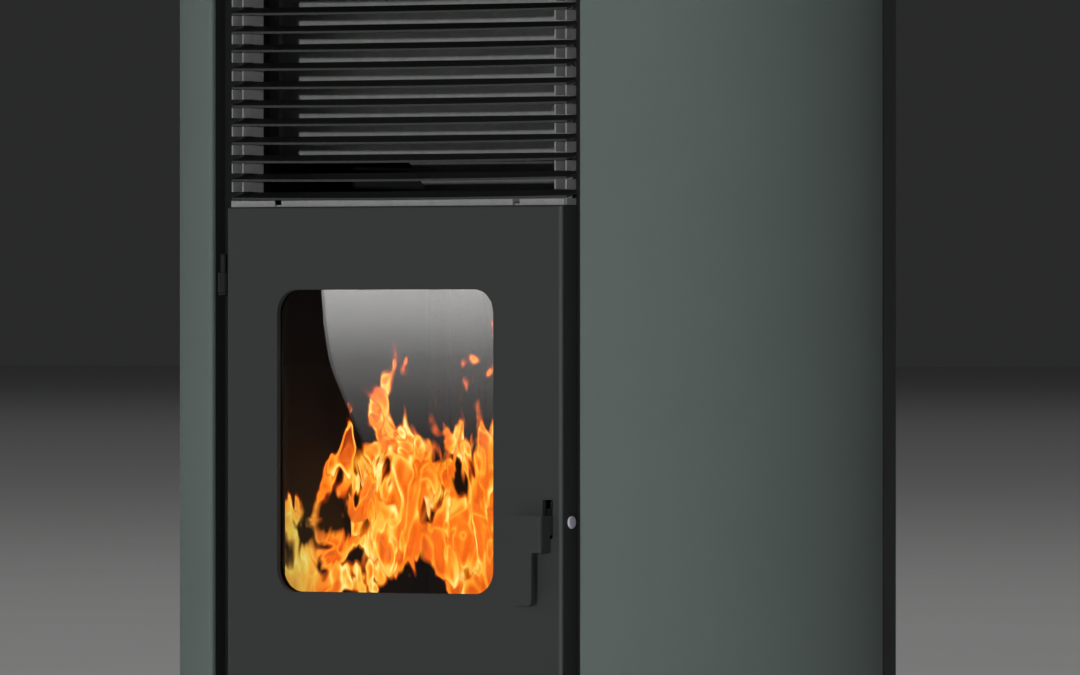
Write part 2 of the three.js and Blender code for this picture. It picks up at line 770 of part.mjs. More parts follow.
function makeFireBack() {
  const half = fireboxWidth / 2 - fireboxWall - 6;
  const rear = fireboxRear - fireboxWall - gap;
  const z = [fireboxBottom + fireBackRise, baffleHeight - gap];
  const plate = block([-half, half], [rear - fireBackThickness, rear], z);
  const ribs = [];
  for (let rib = 0; rib < fireBackRibs; rib += 1) {
    const share = rib / (fireBackRibs - 1);
    const x = -half + fireBackInset + share * (half - fireBackInset) * 2;
    ribs.push(block([x - fireBackRibWidth / 2, x + fireBackRibWidth / 2],
      [rear - fireBackThickness - fireBackRib, rear - 1], [z[0] + 12, z[1] - 12]));
  }
  const chute = block([-chuteWidth / 2, chuteWidth / 2], [rear - 30, rear + 5],
    [chuteHoleBottom, chuteHoleBottom + chuteHoleHeight]);
  return cut(join(plate, ...ribs), chute);
}

function makeBaffle() {
  const half = fireboxWidth / 2 - fireboxWall - gap;
  const rear = fireboxRear - fireboxWall - gap;
  const ledge = [rear - baffleDepth, rear];
  return block([-half, half], ledge, [baffleHeight, baffleHeight + baffleThickness]);
}

function makePotHolder() {
  const half = potWidth / 2 + holderWall;
  const deep = potDepth / 2 + holderWall;
  const floor = fireboxBottom + fireboxWall + gap;
  const top = floor + holderHeight;
  const shell = block([-half, half], [potY - deep, potY + deep], [floor, top]);
  const hollow = block([-half + holderWall, half - holderWall],
    [potY - deep + holderWall, potY + deep - holderWall], [floor + holderWall, top + 1]);
  const ledge = [-1, 1].map((side) => block(
    [side > 0 ? half - holderWall - 7 : -half + 1, side > 0 ? half - 1 : -half + holderWall + 7],
    [potY - deep + 1, potY + deep - 1], [top - 9, top - 5]));
  const air = bar("z", airHoleRadius, [floor - 1, floor + holderWall + 1], [0, potY], 20);
  const bore = bar("y", igniterRadius + 0.5, [potY, potY + deep + 1], [0, igniterZ], 16);
  return cut(join(cut(shell, hollow), ...ledge), air, bore);
}

function makeIgniter() {
  const start = potY + 8;
  const end = fireboxRear - fireboxWall - gap;
  return join(bar("y", igniterRadius, [start, end], [0, igniterZ], 16),
    bar("y", igniterRadius + 4, [end - 8, end], [0, igniterZ], 16));
}

// The pot is a tapered cast cup with a rim, and rows of air holes in its walls and floor.
function makeBurnPot() {
  const seat = fireboxBottom + fireboxWall + gap + holderHeight - 5 + gap;
  const half = potWidth / 2 - 0.6;
  const deep = potDepth / 2 - 0.6;
  const level = (z, inset) => ({
    z, x: [-half + inset, half - inset], y: [potY - deep + inset, potY + deep - inset],
  });
  const cup = loft([level(seat, holderWall), level(potTop, -potFlare)]);
  const hollow = loft([
    level(seat + potWall, holderWall + potWall), level(potTop + 1, potWall - potFlare),
  ]);
  const rim = loft([level(potTop - potWall, -potRim), level(potTop, -potRim)]);
  const holes = [];
  for (const x of potHolesX) {
    for (const y of potHolesY) {
      holes.push(bar("z", potAirHole, [seat - 1, seat + potWall + 1], [x, potY + y], 8));
    }
  }
  for (const x of potSideHolesX) {
    holes.push(bar("y", potAirHole, [potY - deep - 20, potY + deep + 20], [x, seat + 28], 8));
  }
  return cut(join(cup, rim), hollow, ...holes);
}

// ---------------------------------------------------------------- pellet feed
const augerAxis = new THREE.Vector3(0, -Math.cos(augerSlope), Math.sin(augerSlope));

// A shape drawn along +Z from 0, laid along the auger's axis, with z = 0 at the lower end.
function alongAuger(geometry) {
  const turn = new THREE.Quaternion().setFromUnitVectors(new THREE.Vector3(0, 0, 1), augerAxis);
  geometry.applyQuaternion(turn);
  return geometry.translate(0, augerLowY, augerLowZ);
}

function makeAugerTube() {
  const outer = alongAuger(bar("z", augerRadius + augerWall, [0, augerLength], [0, 0], 24));
  const inner = alongAuger(bar("z", augerRadius, [augerWall, augerLength - augerWall], [0, 0], 24));
  const half = throatWidth / 2;
  const stubTop = throatHeight - gap;
  const stubBottom = augerLowZ + 52;
  const stub = block([-half, half], [throatFront, throatRear], [stubBottom, stubTop]);
  const stubHole = block([-half + augerWall, half - augerWall],
    [throatFront + augerWall, throatRear - augerWall], [stubBottom + augerWall, stubTop + 1]);
  const mouth = block([-augerRadius + 6, augerRadius - 6],
    [augerLowY - 22, throatRear - 12], [stubBottom + augerWall, stubBottom + 46]);
  const drop = block([-chuteWidth / 2 + 12, chuteWidth / 2 - 12], [augerTopY - 60, augerTopY + 20],
    [chuteHoleBottom + 24, chuteHoleBottom + chuteHoleHeight - 6]);
  const shaft = alongAuger(bar("z", augerShaftRadius + 0.6, [-1, augerWall + 1], [0, 0], 20));
  return cut(join(outer, stub), inner, stubHole, mouth, drop, shaft);
}

// The flight is a strip wound along the shaft by a formula: four corners a step, ends closed.
function makeAugerScrew() {
  const start = 8;
  const end = augerLength - 8;
  const turns = (end - start - flightThickness) / augerPitch;
  const stepsPerTurn = 12;
  const steps = Math.round(turns * stepsPerTurn);
  const positions = [];
  const index = [];
  const root = augerShaftRadius - 1;
  for (let step = 0; step <= steps; step += 1) {
    const angle = (step / stepsPerTurn) * Math.PI * 2;
    const z = start + (angle / (Math.PI * 2)) * augerPitch;
    const corners = [
      [root, 0], [flightRadius, 0], [flightRadius, flightThickness], [root, flightThickness],
    ];
    for (const [radius, rise] of corners) {
      positions.push(radius * Math.cos(angle), radius * Math.sin(angle), z + rise);
    }
  }
  for (let step = 0; step < steps; step += 1) {
    for (let corner = 0; corner < 4; corner += 1) {
      const a = step * 4 + corner;
      const b = step * 4 + ((corner + 1) % 4);
      index.push(a, a + 4, b + 4, a, b + 4, b);
    }
  }
  const last = steps * 4;
  index.push(0, 1, 2, 0, 2, 3, last, last + 2, last + 1, last, last + 3, last + 2);
  const flight = new THREE.BufferGeometry();
  flight.setAttribute("position", new THREE.Float32BufferAttribute(positions, 3));
  flight.setIndex(index);
  const shaft = bar("z", augerShaftRadius, [4, augerLength - 4], [0, 0], 20);
  const stub = bar("z", augerShaftRadius - 2, [-12, 5], [0, 0], 16);
  return alongAuger(join(flight, shaft, stub));
}

function makeAugerMotor() {
  const half = gearBox / 2;
  const box = block([-half, half], [-half, half], [-gearBoxLength, -gap]);
  const can = bar("z", gearMotorRadius, [-gearBoxLength - gearMotorReach, -gearBoxLength + 1],
    [0, 0], 24);
  const bore = bar("z", augerShaftRadius - 2 + gap, [-14, 1], [0, 0], 16);
  return alongAuger(cut(join(box, can), bore));
}

function makePelletChute() {
  const half = chuteWidth / 2 + chuteWall;
  const front = fireboxRear + gap;
  const low = chuteHoleBottom - chuteWall;
  const high = chuteHoleBottom + chuteHoleHeight + chuteWall;
  const side = (wall) => polygon([
    [front - wall, low + wall], [front + chuteDepth + wall, low + wall + chuteRise],
    [front + chuteDepth + wall, high - wall], [front - wall, high - wall],
  ]);
  const shell = drawX(side(0), [-half, half]);
  const hollow = drawX(side(chuteWall), [-half + chuteWall, half - chuteWall]);
  const tube = alongAuger(bar("z", augerRadius + augerWall + gap, [-5, augerLength + 5], [0, 0], 24));
  return cut(shell, hollow, tube);
}

function makeHopper() {
  const half = hopperWidth / 2;
  const front = shieldY + shieldSheet + gap;
  const throat = throatWidth / 2;
  const level = (z, across, [y0, y1], wall) => ({
    z, x: [-across + wall, across - wall], y: [y0 + wall, y1 - wall],
  });
  const levels = (wall) => [
    level(throatHeight - (wall ? 1 : 0), throat, [throatFront, throatRear], wall),
    level(throatHeight + throatNeck, throat, [throatFront, throatRear], wall),
    level(hopperWaist, half, [hopperWaistY, hopperRear], wall),
    level(hopperShoulder, half, [front, hopperRear], wall),
    level(casingTop - gap + (wall ? 1 : 0), half, [front, hopperRear], wall),
  ];
  return cut(loft(levels(0)), loft(levels(hopperSheet)));
}

// ---------------------------------------------------------------- grille
function makeSlat() {
  const half = slatLength / 2;
  const shape = new THREE.Shape();
  shape.moveTo(half, slatDepth);
  shape.lineTo(-half, slatDepth);
  shape.lineTo(-half, 0);
  shape.quadraticCurveTo(0, -2 * slatBow, half, 0);
  return raise(shape, [0, slatThickness], 12).rotateX(slatTilt);
}

function makeComb() {
  const outer = slatLength / 2;
  const inner = outer - combInset;
  const front = frontY + slatSetBack - 0.2;
  const z = [doorTop + gap, grilleTop - gap];
  const solid = block([inner, outer], [front, front + combDepth], z);
  const hollow = block([inner + combSheet, outer - combSheet],
    [front - 1, front + combDepth - combSheet], [z[0] - 1, z[1] + 1]);
  const notches = [];
  for (let slat = 0; slat < slatCount; slat += 1) {
    const low = firstSlat + slat * slatPitch - gap;
    notches.push(block([inner - 5, outer + 5], [front - 1, front + slatDepth + 1.5],
      [low, low + notchHeight]));
  }
  return cut(solid, hollow, ...notches);
}

function makeSill() {
  const half = slatLength / 2 - 1;
  const front = frontY + sillLip;
  const low = doorTop + gap;
  const leg = block([-half, half], [front, flangeFront - 1], [low, low + casingSheet]);
  const lip = block([-half, half], [front, front + casingSheet], [low, firstSlat - 0.8]);
  const notches = [-1, 1].map((side) => block(
    [side * sillNotchAt - sillNotch / 2, side * sillNotchAt + sillNotch / 2],
    [front - 1, front + 3], [doorTop - 1, firstSlat + 1]));
  return cut(join(leg, lip), ...notches);
}

function makeHeatShield() {
  const half = shieldWidth / 2;
  const t = shieldSheet;
  const y = shieldY;
  const step = shieldJoggle;
  const right = [
    [half, y], [half, y - step], [half + shieldWing, y - step],
    [half + shieldWing, y - step + t], [half + t, y - step + t], [half + t, y + t],
  ];
  const left = right.map(([x, v]) => [-x, v]).reverse();
  return raise(polygon([...right, ...left]), [shieldBottom, shieldTop]);
}

// ---------------------------------------------------------------- front covers and ash drawer
function makeCover(z) {
  return doorTray([-doorHalf, doorHalf], z, coverSheet, coverSheet, coverFold);
}

function makeAshBox() {
  const half = drawerWidth / 2 + drawerSideGap;
  const y = [flangeFront, flangeFront + drawerDepth + drawerSideGap * 2];
  const z = [ashBoxBottom, fireboxBottom - gap];
  const shell = block([-half, half], y, z);
  const hollow = block([-half + ashBoxSheet, half - ashBoxSheet], [y[0] - 1, y[1] - ashBoxSheet],
    [z[0] + ashBoxSheet, z[1] + 1]);
  const flangeRelief = block([-half - 1, half + 1], [y[0] - 1, flangeFront + fireboxWall + gap],
    [fireboxBottom - 2 - gap, z[1] + 1]);
  const legs = [-1, 1].map((side) => block(
    [side > 0 ? half - ashBoxSheet : -doorHalf + gap, side > 0 ? doorHalf - gap : -half + ashBoxSheet],
    [y[0], y[0] + ashBoxSheet], [z[0], fireboxBottom - 3]));
  return cut(join(shell, ...legs), hollow, flangeRelief);
}

function makeAshDrawer() {
  const front = makeCover([drawerFrontBottom, drawerFrontTop]);
  const half = drawerWidth / 2;
  const low = ashBoxBottom + ashBoxSheet + gap;
  const z = [low, low + drawerHeight];
  const y = [frontY + coverSheet - 0.5, flangeFront + drawerDepth];
  const tray = block([-half, half], y, z);
  const hollow = block([-half + drawerSheet, half - drawerSheet], [y[0] + 2, y[1] - drawerSheet],
    [z[0] + drawerSheet, z[1] + 1]);
  const finger = block([-fingerNotchWidth / 2, fingerNotchWidth / 2],
    [frontY - 1, frontY + coverFold + 1], [drawerFrontTop - fingerNotchDepth, drawerFrontTop + 1]);
  return cut(join(front, cut(tray, hollow)), finger);
}

// ---------------------------------------------------------------- smoke fan
function scrollSide(wall) {
  const r = scrollRadius - wall;
  const shape = new THREE.Shape();
  const end = outletEnd + (wall ? 1 : 0);
  const top = smokeFanZ + r;
  const bottom = smokeFanZ + scrollRadius - outletHeight - 2 * fanSheet + wall;
  shape.moveTo(end, bottom);
  shape.lineTo(end, top);
  shape.lineTo(fanY, top);
  const stop = Math.asin((bottom - smokeFanZ) / r);
  shape.absarc(fanY, smokeFanZ, r, Math.PI / 2, Math.PI * 2 + stop, false);
  return shape;
}

function makeSmokeFanHousing() {
  const x = [smokeFanX - smokeFanWidth / 2, smokeFanX + smokeFanWidth / 2];
  const shell = drawX(scrollSide(0), x, 16);
  const flange = block([smokeFanX - fanFlange, smokeFanX + fanFlange], [outletEnd - 3, outletEnd],
    [smokeOutletZ - fanFlange, smokeOutletZ + fanFlange]);
  const hollow = drawX(scrollSide(fanSheet), [x[0] + fanSheet, x[1] - fanSheet], 16);
  const intake = bar("x", intakeRadius, [x[1] - 5, x[1] + 1], [fanY, smokeFanZ], 24);
  const shaft = bar("x", fanShaftRadius + 1, [x[0] - 1, x[0] + 5], [fanY, smokeFanZ], 16);
  return cut(join(shell, flange), hollow, intake, shaft);
}

function makeSmokeImpeller() {
  const back = smokeFanX - smokeFanWidth / 2 + fanSheet + 4;
  const parts = [
    bar("x", impellerRadius, [back, back + bladeThickness], [fanY, smokeFanZ], 20),
    bar("x", impellerHub, [back, back + 20], [fanY, smokeFanZ]),
    bar("x", fanShaftRadius, [back - 50, back + 1], [fanY, smokeFanZ], 16),
  ];
  for (let blade = 0; blade < impellerBlades; blade += 1) {
    const vane = block([back + 1, back + impellerWidth], [impellerHub + 10, impellerRadius - 2],
      [-bladeThickness / 2, bladeThickness / 2]);
    vane.rotateX((blade * Math.PI * 2) / impellerBlades);
    parts.push(vane.translate(0, fanY, smokeFanZ));
  }
  return join(...parts);
}

function makeSmokeFanMotor() {
  const x1 = smokeFanX - smokeFanWidth / 2 - gap;
  const can = bar("x", fanMotorRadius, [x1 - fanMotorLength, x1], [fanY, smokeFanZ], 28);
  const bore = bar("x", fanShaftRadius + gap, [x1 - 52, x1 + 1], [fanY, smokeFanZ], 16);
  return cut(can, bore);
}

function makeSmokeDuct() {
  const y0 = fireboxRear - 1;
  const top = fireboxBottom + fireBackRise;
  const low = smokeFanZ - smokeDuctHalf;
  const rear = fanY + smokeDuctHalf;
  const neck = y0 + smokeDuctNeck;
  const side = (wall) => polygon([
    [y0 + wall, low + wall], [rear - wall, low + wall],
    [rear - wall, smokeFanZ + smokeDuctHalf - wall], [neck - wall, smokeFanZ + smokeDuctHalf * 2],
    [neck - wall, top - wall], [y0 + wall, top - wall],
  ]);
  const shell = drawX(side(0), smokeDuctX);
  const hollow = drawX(side(fanSheet), [smokeDuctX[0] + fanSheet, smokeDuctX[1] - fanSheet]);
  const outlet = bar("x", intakeRadius, [smokeDuctX[0] - 1, smokeDuctX[0] + 5], [fanY, smokeFanZ], 24);
  return cut(shell, hollow, outlet);
}

function makeFlueSpigot() {
  const start = outletEnd + gap;
  const plate = block([smokeFanX - fanFlange, smokeFanX + fanFlange], [start, start + 3],
    [smokeOutletZ - fanFlange, smokeOutletZ + fanFlange]);
  const pipe = bar("y", flueRadius, [start, flueReach], [smokeFanX, smokeOutletZ], 32);
  const bore = bar("y", flueRadius - pipeWall, [start - 1, flueReach + 1], [smokeFanX, smokeOutletZ], 32);
  return cut(join(plate, pipe), bore);
}

function makeAirPipe() {
  const inside = rearReach - casingSheet - gap;
  const pipe = bar("y", airPipeRadius, [airPipeStart, airPipeReach], [airPipeX, airPipeZ], 20);
  const collar = bar("y", airPipeRadius + airCollar, [inside - 2.5, inside],
    [airPipeX, airPipeZ], 20);
  const bore = bar("y", airPipeRadius - pipeWall, [airPipeStart - 1, airPipeReach + 1],
    [airPipeX, airPipeZ], 20);
  return cut(join(pipe, collar), bore);
}

// ---------------------------------------------------------------- room-air fan
function makeRoomFanHousing() {
  const x = [roomFanStart, roomFanStart + roomFanLength];
  const outerR = rotorRadius + roomFanShell;
  const wall = fanSheet;
  const throat = roomFanZ + roomFanThroat;
  const side = new THREE.Shape();
  side.moveTo(fanY + outerR, roomFanZ);
  side.lineTo(fanY + outerR, throat);
  side.lineTo(fanY - 8, throat);
  side.lineTo(fanY - 8, roomFanZ + outerR * 0.9);
  side.absarc(fanY, roomFanZ, outerR, 100 * degrees, Math.PI * 2, false);
  const shell = drawX(side, x, 12);
  const inner = new THREE.Shape();
  inner.moveTo(fanY + outerR - wall, roomFanZ);
  inner.lineTo(fanY + outerR - wall, throat + 1);
  inner.lineTo(fanY - 8 + wall, throat + 1);
  inner.lineTo(fanY - 8 + wall, roomFanZ + (outerR - wall) * 0.9);
  inner.absarc(fanY, roomFanZ, outerR - wall, 95 * degrees, Math.PI * 2, false);
  const hollow = drawX(inner, [x[0] + wall, x[1] - wall], 12);
  const intake = block([x[0] + wall, x[1] - wall], [fanY - outerR - 1, fanY - 12],
    [roomFanZ - rotorRadius * 0.75, roomFanZ + rotorRadius * 0.75]);
  const bores = bar("x", fanShaftRadius + gap, [x[0] - 1, x[1] + 1], [fanY, roomFanZ], 16);
  const legs = [x[0], x[1] - legWidth].map((low) =>
    block([low, low + legWidth], [fanY - legWidth, fanY + legWidth],
      [baseTop + gap, roomFanZ - outerR + wall / 2]));
  return join(cut(shell, hollow, intake, bores), makeRoomFanMotor(), ...legs);
}

function makeRoomFanRotor() {
  const x = [roomFanStart + fanSheet + 4, roomFanStart + roomFanLength - fanSheet - 4];
  const parts = [
    bar("x", fanShaftRadius, [roomFanStart - 1, roomFanStart + roomFanLength + 24], [fanY, roomFanZ], 16),
    bar("x", rotorRadius, [x[0], x[0] + 2], [fanY, roomFanZ], 18),
    bar("x", rotorRadius, [x[1] - 2, x[1]], [fanY, roomFanZ], 18),
  ];
  for (let blade = 0; blade < rotorBlades; blade += 1) {
    const vane = block([x[0] + 1, x[1] - 1], [-5, 5], [-0.8, 0.8]);
    vane.rotateX(35 * degrees);
    vane.translate(0, rotorRadius - 6.5, 0);
    vane.rotateX((blade * Math.PI * 2) / rotorBlades);
    parts.push(vane.translate(0, fanY, roomFanZ));
  }
  return join(...parts);
}

function makeRoomFanMotor() {
  const x0 = roomFanStart + roomFanLength - 0.5;
  const can = bar("x", roomMotorRadius, [x0, x0 + roomMotorLength], [fanY, roomFanZ], 18);
  const bore = bar("x", fanShaftRadius + gap, [x0 - 1, x0 + 26], [fanY, roomFanZ], 16);
  return cut(can, bore);
}

// ---------------------------------------------------------------- mains inlet and switch
function makeMainsInlet() {
  const centred = (middle, size) => [middle - size / 2, middle + size / 2];
  const back = rearReach + gap;
  const plate = block(centred(inletX, inletPlate[0]), [back, back + 2], centred(inletZ, inletPlate[1]));
  const housing = block(centred(inletX, inletBody[0]), [rearReach - inletDepth, back + 1],
    centred(inletZ, inletBody[1]));
  const floor = rearReach - socketDepth;
  const socket = block(centred(inletX, 24), [floor, rearReach + 5], [inletZ - 21, inletZ - 4]);
  const contacts = [[-7, -14], [0, -10], [7, -14]].map(([x, z]) =>
    block(centred(inletX + x, 2), [floor - 1, rearReach - 3], centred(inletZ + z, 4)));
  const pocket = block(centred(inletX, 12.6), [floor, rearReach + 5], centred(rockerZ, 21));
  const pivot = bar("x", rockerPin + gap, centred(inletX, 18), [rockerY, rockerZ], 12);
  return join(cut(join(plate, housing), socket, pocket, pivot), ...contacts);
}

function makeRocker() {
  const lens = polygon([[-7, -4], [3.5, -9], [5.5, -9], [4.2, 0], [5.5, 9], [3.5, 9], [-7, 4]]);
  const pins = bar("x", rockerPin, [inletX - 8.5, inletX + 8.5], [0, 0], 12);
  const rocker = join(drawX(lens, [inletX - 6, inletX + 6]), pins);
  return rocker.rotateX(-6 * degrees).translate(0, rockerY, rockerZ);
}

function makeControlPanel() {
  const half = controlWidth / 2;
  const deep = controlDepth / 2;
  const cap = block([-half, half], [controlY - deep, controlY + deep],
    [stoveTop + gap, stoveTop + gap + controlCap]);
  const tub = block([-half + controlRim, half - controlRim],
    [controlY - deep + controlRim, controlY + deep - controlRim],
    [casingTop - controlDrop, stoveTop + 1]);
  return join(cap, tub);
}

// ---------------------------------------------------------------- the stove
add("base_plate", raise(bodyOutline(), [footHeight, baseTop], 22), blackPaint);
const rearFootY = rearReach - rearFootInset;
const footPlaces = {
  front_left: [-footX[0], frontFootY],
  front_right: [footX[0], frontFootY],
  rear_left: [-footX[1], rearFootY],
  rear_right: [footX[1], rearFootY],
};
for (const [place, [x, y]] of Object.entries(footPlaces)) {
  add(`foot_${place}`, makeFoot(), rubber).position.set(x, y, 0);
}
add("side_panel_right", makeSidePanel(), greenPaint);
add("side_panel_left", mirrored(makeSidePanel()), greenPaint);
add("rear_casing", makeRearCasing(), blackPaint);
add("top_plate", makeTopPlate(), anthracite);
add("hopper_lid", makeHopperLid(), anthracite);
add("post_right", makePost(), blackPaint);
add("post_left", makeHingePost(), blackPaint);
["lower", "upper"].forEach((level, at) => {
  add(`hinge_pin_${level}`, makeHingePin(), bareSteel).position.set(hingeX, hingeY, hingeHeights[at]);
});
add("door_leaf", makeDoorLeaf(), anthracite);
add("door_glass", makeDoorGlass(), glassSheet);
add("glass_clamp", makeGlassClamp(), blackPaint);
add("door_gasket", makeDoorGasket(), rope);
add("door_handle", makeDoorHandle(), anthracite);
add("handle_pin", makeHandlePin(), bareSteel);
add("latch_catch", makeLatchCatch(), bareSteel);
add("firebox", makeFirebox(), blackPaint);
add("fire_back", makeFireBack(), castIron);
add("baffle_plate", makeBaffle(), firebrick);
add("burn_pot_holder", makePotHolder(), castIron);
add("burn_pot", makeBurnPot(), castIron);
add("igniter", makeIgniter(), bareSteel);
add("pellet_chute", makePelletChute(), blackPaint);
add("auger_tube", makeAugerTube(), galvanised);
add("auger_screw", makeAugerScrew(), bareSteel);
add("auger_gearmotor", makeAugerMotor(), galvanised);
add("hopper", makeHopper(), galvanised);
for (let slat = 0; slat < slatCount; slat += 1) {
  const name = `grille_slat_${String(slat + 1).padStart(2, "0")}`;
  add(name, makeSlat(), anthracite).position.set(0, frontY + slatSetBack, firstSlat + slat * slatPitch);
}
add("grille_frame", join(makeSill(), makeComb(), mirrored(makeComb())), galvanised);
add("heat_shield", makeHeatShield(), galvanised);
add("upper_front_cover", makeCover([grilleTop, casingTop - gap]), anthracite);
add("lower_front_cover", makeCover([baseTop + gap, drawerFrontBottom - coverGap]), anthracite);
add("ash_box", makeAshBox(), blackPaint);
add("ash_drawer", makeAshDrawer(), anthracite);
add("smoke_fan_housing", makeSmokeFanHousing(), galvanised);
add("smoke_fan_impeller", makeSmokeImpeller(), bareSteel);
add("smoke_fan_motor", makeSmokeFanMotor(), blackPaint);
add("flue_spigot", makeFlueSpigot(), blackPaint);
add("air_inlet_pipe", makeAirPipe(), bareSteel);
add("room_fan_housing", makeRoomFanHousing(), galvanised);
add("room_fan_rotor", makeRoomFanRotor(), bareSteel);
add("mains_inlet", makeMainsInlet(), blackPlastic);
add("rocker_switch", makeRocker(), blackPlastic);
add("control_panel", makeControlPanel(), displayGlass);

export default stove;
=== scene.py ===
"""Oval pellet stove: sheet-steel casing, fire door, warm-air grille, hopper and ash drawer."""
import contextlib
import math
import random

import bmesh
import bpy
from bpy.props import FloatProperty, FloatVectorProperty, IntProperty, PointerProperty
from mathutils import Matrix, Vector


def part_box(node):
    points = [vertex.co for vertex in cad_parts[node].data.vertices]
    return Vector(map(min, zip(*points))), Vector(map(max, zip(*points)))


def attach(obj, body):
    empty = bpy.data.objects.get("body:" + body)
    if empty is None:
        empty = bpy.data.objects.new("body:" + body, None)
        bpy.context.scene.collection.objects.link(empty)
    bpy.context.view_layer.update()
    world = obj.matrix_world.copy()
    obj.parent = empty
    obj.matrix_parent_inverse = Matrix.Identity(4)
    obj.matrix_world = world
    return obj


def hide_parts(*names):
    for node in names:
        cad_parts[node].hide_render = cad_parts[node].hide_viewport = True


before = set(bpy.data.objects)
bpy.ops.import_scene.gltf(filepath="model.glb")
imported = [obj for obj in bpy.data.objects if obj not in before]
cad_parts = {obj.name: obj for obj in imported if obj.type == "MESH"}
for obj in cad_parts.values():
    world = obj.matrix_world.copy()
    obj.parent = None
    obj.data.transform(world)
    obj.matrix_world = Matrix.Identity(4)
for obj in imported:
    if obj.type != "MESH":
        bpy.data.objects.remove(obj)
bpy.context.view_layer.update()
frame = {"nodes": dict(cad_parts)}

bl_info = {
    "name": "Pellet Stove",
    "version": (1, 0, 0),
    "blender": (4, 5, 0),
    "location": "View3D > Sidebar > Stove",
    "description": "Builds an oval pellet stove round its CAD frame",
    "category": "Add Mesh",
}

MM = 0.001
FRONT = -184.79                      # the front plane, from the oval's centre line
CENTRE_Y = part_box("base_plate")[0].y - FRONT * MM
REAR = (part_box("rear_casing")[1].y - CENTRE_Y) / MM
SIDE_RADIUS = 200.0
ARC_X = 107.5
OPENING = 184.0                      # half the gap between the side panels
PANEL_START = math.asin((OPENING - ARC_X) / SIDE_RADIUS)
PANEL_END = math.radians(112)
REAR_HALF = 180.0
SHEET = 1.5
GAP = 0.3                            # what is left open between two pieces
BASE_TOP = 27.0
CASING_TOP = 1046.0
CASING_Z = (BASE_TOP + GAP, CASING_TOP - GAP)
TOP = 1050.0
LID_HINGE = (231, 1055.6)
LOUVRES = [(x, 320 + row * 22) for x in (-95, 95) for row in range(7)]
SLATS, SLAT_PITCH, FIRST_SLAT = 12, 14.8, 796
DOOR_HALF = 167.8
DOOR_X = (-DOOR_HALF, DOOR_HALF)
DOOR_Z = (340.0, 790.0)
WINDOW_X = (-116.9, 100.1)
WINDOW_Z = (483.0, 724.0)
WINDOW_CORNER = 19
REBATE = 6                           # how far the glass reaches past the window
GLASS_FRONT = FRONT + 5.3
HINGE = (-175.0, FRONT + 5)
HINGE_Z = (384.0, 722.0)
HINGE_HOLE = 2.8
PIVOT = (FRONT + 12.4, 540.4)
PIVOT_HOLE = 3.3
HANDLE_EDGE = 157.6
SLOT_X = (149.0, 159.0)
FLANGE = FRONT + 24
POT_Y = FLANGE + 92
FLUE = (-80.0, 169.0)
AIR = (60.0, 214.0)
INLET = (140.0, 78.0)


# ---- sizes and colours
def colour_property(name, description, default):
    return FloatVectorProperty(
        name=name, description=description, subtype="COLOR", size=3, min=0, max=1, default=default)


def length_property(name, description, default):
    return FloatProperty(
        name=name, description=description, default=default * MM, unit="LENGTH", subtype="DISTANCE")


class StoveSizes(bpy.types.PropertyGroup):
    fold: length_property("Fold radius", "Outer radius of the bends in the casing sheet", 2.4)
    edge: length_property("Edge softening", "Radius of a sheared sheet edge", 0.4)
    door_fold: length_property("Door fold", "Outer radius of the folds round the door", 2.2)
    pellet: length_property("Pellet", "Diameter of a wood pellet", 6.0)
    pellets: IntProperty(name="Pellets", description="Pellets in the burn pot", default=130)


class StoveColours(bpy.types.PropertyGroup):
    panel: colour_property("Panels", "Powder coat of the side panels", (0.099, 0.122, 0.114))
    front: colour_property("Front", "Powder coat of the door, covers, slats and top",
                           (0.0262, 0.0278, 0.0272))
    frame: colour_property("Frame", "Paint of the posts, base and rear", (0.011, 0.0118, 0.0114))
    firebox: colour_property("Firebox", "High-temperature paint", (0.006, 0.006, 0.006))
    iron: colour_property("Iron", "Cast iron", (0.010, 0.010, 0.0105))
    zinc: colour_property("Zinc", "Galvanised sheet", (0.225, 0.231, 0.225))
    steel: colour_property("Steel", "Bare steel", (0.42, 0.43, 0.45))
    rope: colour_property("Rope", "Glass-fibre gasket", (0.03, 0.03, 0.029))
    brick: colour_property("Brick", "Vermiculite board", (0.48, 0.40, 0.27))
    rubber: colour_property("Rubber", "Feet", (0.010, 0.010, 0.010))
    plastic: colour_property("Plastic", "Mains inlet and switch", (0.012, 0.012, 0.012))
    floor: colour_property("Floor", "Studio floor", (0.82, 0.82, 0.81))


# ---- places
def at(x, y, z):
    """A point given in millimetres from the oval's centre line, in the frame's metres."""
    return Vector((x * MM, y * MM + CENTRE_Y, z * MM))


def on_plane(axis, a, b, c):
    """A point of an outline drawn across an axis: a and b in the outline, c along the axis."""
    return {"x": at(c, a, b), "y": at(a, c, b), "z": at(a, b, c)}[axis]


def about(middle, half):
    return middle - half, middle + half


def grown(span, by):
    return span[0] - by, span[1] + by


def rounded(corners, steps=6, closed=True):
    """Points of a line through corners (a, b, radius), each corner turned to its radius."""
    points = []
    count = len(corners)
    for number, (a, b, radius) in enumerate(corners):
        here = Vector((a, b))
        if not radius or (not closed and number in (0, count - 1)):
            points.append((a, b))
            continue
        back = (Vector(corners[number - 1][:2]) - here).normalized()
        on = (Vector(corners[(number + 1) % count][:2]) - here).normalized()
        half = back.angle(on) / 2
        middle = here + (back + on).normalized() * radius / math.sin(half)
        start = here + back * radius / math.tan(half) - middle
        sweep = start.angle_signed(here + on * radius / math.tan(half) - middle)
        for step in range(steps + 1):
            turn = -sweep * step / steps
            x = start.x * math.cos(turn) - start.y * math.sin(turn)
            y = start.x * math.sin(turn) + start.y * math.cos(turn)
            points.append((middle.x + x, middle.y + y))
    return points


def rectangle(a, b, radius):
    return [(a[0], b[0], radius), (a[1], b[0], radius), (a[1], b[1], radius), (a[0], b[1], radius)]


